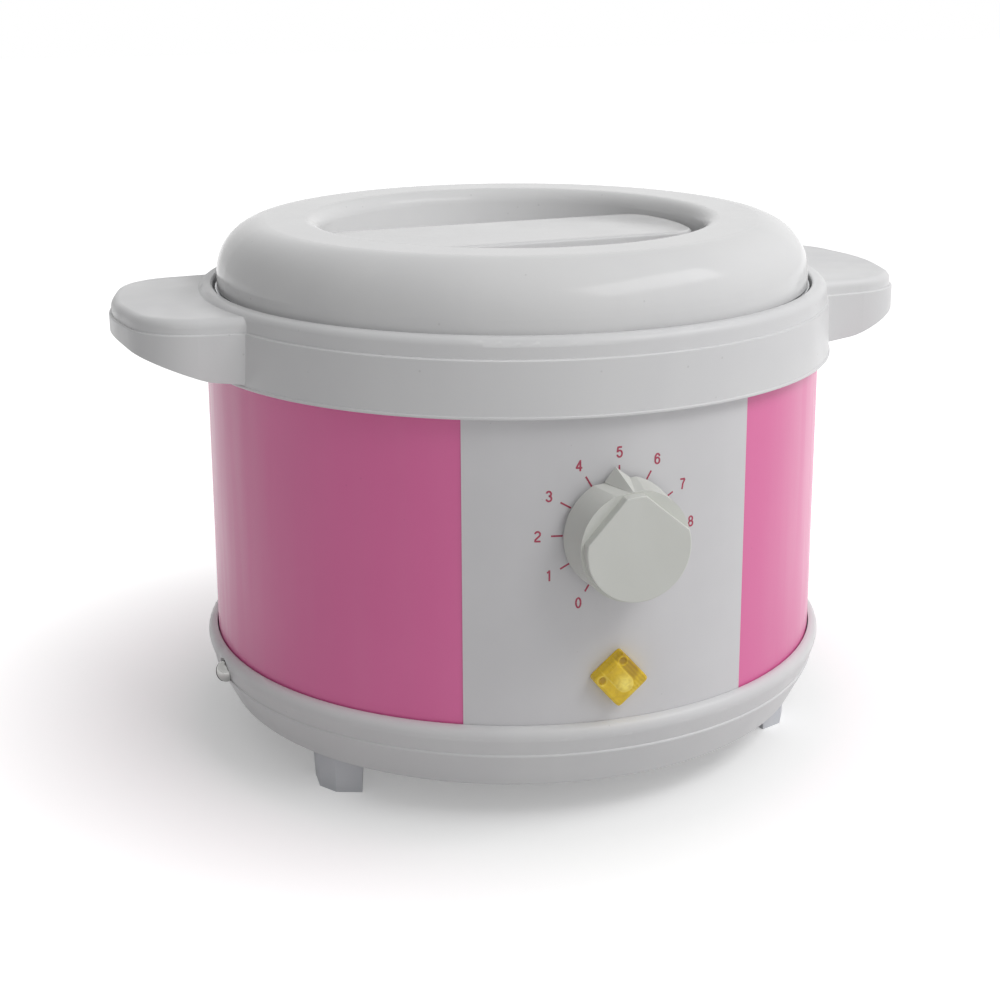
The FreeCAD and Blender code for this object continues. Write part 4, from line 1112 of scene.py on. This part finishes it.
@dataclass
class ShellSeam(SubAssembly):
    """The shell's lapped seam at the rear: a strip a sheet's edge proud, with a row of spot welds.

    Lengths are in millimetres.

    Attributes:
        half: half the strip's width.
        proud: its height over the shell.
        rise: the run over which its edges rise.
        pitch: from one weld to the next.
        weld: radius of a weld.
        sunk: depth of a weld.
        clear: gap between the cord inlet and the strip's foot.
        tuck: how far the strip goes up inside the ring.
        edge_depth: how deep its edges lie in the shell.
        back_depth: how deep its back lies in the shell.
        spacing: of its columns and of its rows.
    """

    half: float = 5.0
    proud: float = 0.3
    rise: float = 0.6
    pitch: float = 11.0
    weld: float = 1.6
    sunk: float = 0.22
    clear: float = 4.0
    tuck: float = 2.0
    edge_depth: float = 0.02
    back_depth: float = 0.3
    spacing: Span = (0.25, 0.4)

    def build(self) -> None:
        """Makes the strip, from above the inlet to inside the ring's skirt.

        Its height over the shell is the proud height times ramp ^ 2 * (3 - 2 * ramp), where the ramp goes
        from 0 at an edge to 1, less the welds' depth times exp(-(distance / weld radius) ^ 4). The distance
        along X becomes an angle, distance / shell radius, about the pot's axis.
        """
        _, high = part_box("body_shell")
        _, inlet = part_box("cord_grommet")
        skirt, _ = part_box("top_ring")
        radius = high.y / MM
        foot, top = inlet.z / MM + self.clear, skirt.z / MM + self.tuck
        x = np.linspace(-self.half, self.half, int(2 * self.half / self.spacing[0]) + 1)
        z = np.linspace(foot, top, int((top - foot) / self.spacing[1]))[:, None]
        inwards = np.minimum(self.half - np.abs(x), np.minimum(z - foot, top - z))
        ramp = np.clip(inwards / self.rise, 0, 1)
        near = (z - foot - self.pitch / 2) / self.pitch
        away = np.hypot(x, (near - np.round(near)) * self.pitch)
        welds = self.sunk * np.exp(-((away / self.weld) ** 4))
        height = self.proud * ramp * ramp * (3 - 2 * ramp) - welds
        angle, level = x / radius + 0 * z, z + 0 * x
        outer = radius + np.maximum(height, 0) - self.edge_depth
        front = np.stack([outer * np.sin(angle), outer * np.cos(angle), level], -1)
        inner = radius - self.back_depth
        back = np.stack([inner * np.sin(angle), inner * np.cos(angle), level], -1)
        closed = np.concatenate([front, back[:, ::-1]], 1)
        mesh = make_mesh("shell_seam", [Surface(closed)], crease=40)
        self.add("shell_seam", mesh, "body_paint", "body_paint")


# ---------------------------------------------------------------- studio


@dataclass
class Studio:
    """A plain pale floor and soft light from the right.

    Lengths are in metres and angles in degrees.

    Attributes:
        floor_half: the floor's half width.
        floor_points: points along it.
        floor_seen: its colour as it is seen.
        floor_lit: its colour as it lights the object.
        floor_lift: the white that it adds where it is seen, near the object and far off; the smaller near
            amount paints shade round the object's foot.
        floor_fade: distances between which that grows.
        ambient: strength of the ambient light.
        ambient_swing: what it gains on the room's bright side and loses on the dark one.
        bright_side: direction of the bright side.
        background: strength of the background where it is seen.
        lamp_power: the main lamp's power, in watts.
        lamp_size: its width and height.
        lamp_distance: its distance from the point that it is turned to.
        lamp_aim: the level of that point.
        lamp_bearing: its bearing, from -Y towards +X.
        lamp_height: its elevation.
    """

    floor_half: float = 4.0
    floor_points: int = 9
    floor_seen: Colour = (0.85, 0.85, 0.85)
    floor_lit: Colour = (0.72, 0.72, 0.72)
    floor_lift: Span = (0.27, 0.8)
    floor_fade: Span = (0.105, 0.22)
    ambient: float = 0.4
    ambient_swing: float = 0.3
    bright_side: Triple = (0.85, -0.44, 0.28)
    background: float = 1.0
    lamp_power: float = 3.9
    lamp_size: Span = (0.9, 0.35)
    lamp_distance: float = 1.0
    lamp_aim: float = 0.09
    lamp_bearing: float = 47.0
    lamp_height: float = 46.0

    def seen_directly(self, tree: bpy.types.NodeTree) -> Socket:
        """One for rays from the camera or off gloss and through glass, zero for the light on the object.

        Args:
            tree: the node tree that it is for.

        Returns:
            The output socket.
        """
        rays = tree.nodes.new("ShaderNodeLightPath")
        total = rays.outputs["Is Camera Ray"]
        for name in ("Is Glossy Ray", "Is Transmission Ray"):
            larger = tree.nodes.new("ShaderNodeMath")
            larger.operation = "MAXIMUM"
            tree.links.new(total, larger.inputs[0])
            tree.links.new(rays.outputs[name], larger.inputs[1])
            total = larger.outputs[0]
        return total

    def lay_floor(self) -> None:
        """The floor: a matt sheet that keeps the object's shadow, with painted shade near the object's foot,
        and looks white around it.
        """
        reach = np.linspace(-self.floor_half, self.floor_half, self.floor_points) / MM
        x, y = np.meshgrid(reach, reach)
        points = np.stack([x, y, 0 * x], -1)
        sheet = Surface(points, wrap_columns=False)
        mesh = bpy.data.meshes.new("floor")
        mesh.from_pydata((points.reshape(-1, 3) * MM).tolist(), [], sheet.corners().tolist())
        floor = bpy.data.objects.new("floor", mesh)
        bpy.context.scene.collection.objects.link(floor)
        graph = Graph("floor_sheet")
        seen = self.seen_directly(graph.tree)
        base = graph.mixed(seen, self.floor_lit, self.floor_seen)
        graph.finish(Base_Color=base, Roughness=1.0, Specular_IOR_Level=0.0)
        glow = graph.add("ShaderNodeEmission")
        # Painted shade: the white added where the floor is seen grows with the distance from the axis, so
        # the floor stays darker near the object's foot.
        away = graph.add("ShaderNodeVectorMath", {0: graph.place}, operation="LENGTH").outputs["Value"]
        lift = graph.span(away, *self.floor_lift, source=self.floor_fade)
        scaled = graph.add("ShaderNodeMath", {0: seen, 1: lift}, operation="MULTIPLY")
        graph.feed(glow, "Strength", scaled.outputs[0])
        both = graph.add("ShaderNodeAddShader", {0: graph.shader.outputs[0], 1: glow.outputs[0]})
        graph.feed(graph.tree.nodes["Material Output"], "Surface", both.outputs[0])
        mesh.materials.append(graph.material)

    def light_world(self) -> None:
        """Ambient light, with a white background where it is seen.

        Its strength from a direction is the ambient plus the swing times the cosine between the direction
        and the bright side.
        """
        world = bpy.data.worlds.new("room")
        bpy.context.scene.world = world
        world.use_nodes = True
        tree = world.node_tree
        sky = tree.nodes["Background"]
        sky.inputs["Color"].default_value = (1, 1, 1, 1)
        direction = tree.nodes.new("ShaderNodeTexCoord").outputs["Generated"]
        share = tree.nodes.new("ShaderNodeVectorMath")
        share.operation = "DOT_PRODUCT"
        tree.links.new(direction, share.inputs[0])
        share.inputs[1].default_value = self.bright_side
        room = tree.nodes.new("ShaderNodeMath")
        room.operation = "MULTIPLY_ADD"
        tree.links.new(share.outputs["Value"], room.inputs[0])
        room.inputs[1].default_value = self.ambient_swing
        room.inputs[2].default_value = self.ambient
        spread = tree.nodes.new("ShaderNodeMapRange")
        tree.links.new(room.outputs[0], spread.inputs["To Min"])
        spread.inputs["To Max"].default_value = self.background
        tree.links.new(self.seen_directly(tree), spread.inputs["Value"])
        tree.links.new(spread.outputs["Result"], sky.inputs["Strength"])

    def hang_lamp(self) -> None:
        """The main lamp: a wide soft panel at the right, turned to the middle of the scene."""
        data = bpy.data.lights.new("main_lamp", "AREA")
        data.shape, data.energy = "RECTANGLE", self.lamp_power
        data.size, data.size_y = self.lamp_size
        lamp = bpy.data.objects.new("main_lamp", data)
        bpy.context.scene.collection.objects.link(lamp)
        bearing, height = np.radians(self.lamp_bearing), np.radians(self.lamp_height)
        level = np.cos(height)
        towards = Vector((np.sin(bearing) * level, -np.cos(bearing) * level, np.sin(height)))
        lamp.location = self.lamp_distance * towards + Vector((0, 0, self.lamp_aim))
        lamp.rotation_euler = towards.to_track_quat("Z", "Y").to_euler()

    def build(self) -> None:
        """Sets up floor, light and colour management."""
        self.lay_floor()
        self.light_world()
        self.hang_lamp()
        bpy.context.scene.view_settings.view_transform = "Standard"


@dataclass
class Viewpoint:
    """The camera that the scene is seen through.

    Lengths are in millimetres and angles in degrees.

    Attributes:
        place: where it stands.
        yaw: its direction, from +Y towards +X.
        pitch: how far it looks down.
        roll: its turn about its own axis.
        lens: focal length.
        sensor: width of the sensor.
        shift: the picture's upward shift, as a share of its width.
    """

    place: Triple = (-171.8, -545.4, 250.5)
    yaw: float = 17.08
    pitch: float = 14.24
    roll: float = -0.22
    lens: float = 63.49
    sensor: float = 36.0
    shift: float = -0.1

    def build(self) -> None:
        """Makes the camera.

        It looks along (sin yaw cos pitch, cos yaw cos pitch, -sin pitch), and roll turns its level axis
        about that.
        """
        yaw, pitch, roll = np.radians([self.yaw, self.pitch, self.roll])
        ahead = np.array([np.sin(yaw) * np.cos(pitch), np.cos(yaw) * np.cos(pitch), -np.sin(pitch)])
        right = unit(np.cross(ahead, [0, 0, 1]))
        up = np.cross(right, ahead)
        right, up = np.cos(roll) * right + np.sin(roll) * up, np.cos(roll) * up - np.sin(roll) * right
        data = bpy.data.cameras.new("camera")
        data.lens, data.sensor_width, data.shift_y = self.lens, self.sensor, self.shift
        camera = bpy.data.objects.new("camera", data)
        bpy.context.scene.collection.objects.link(camera)
        matrix = Matrix(np.column_stack([right, up, -ahead]).tolist()).to_4x4()
        matrix.translation = Vector(self.place) * MM
        camera.matrix_world = matrix
        bpy.context.scene.camera = camera


# ---------------------------------------------------------------- the whole


def main() -> None:
    """Dresses the frame, adds the pieces and sets up studio and camera."""
    logging.basicConfig(level=logging.INFO, format="%(message)s")
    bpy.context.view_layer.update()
    palette = Palette(FINISHES)
    for kind in (CarriedNodes, Dial, PilotLamp, ShellSeam):
        group = kind(palette)
        group.build()
        group.report()
    Studio().build()
    Viewpoint().build()


if __name__ == "__main__":
    main()
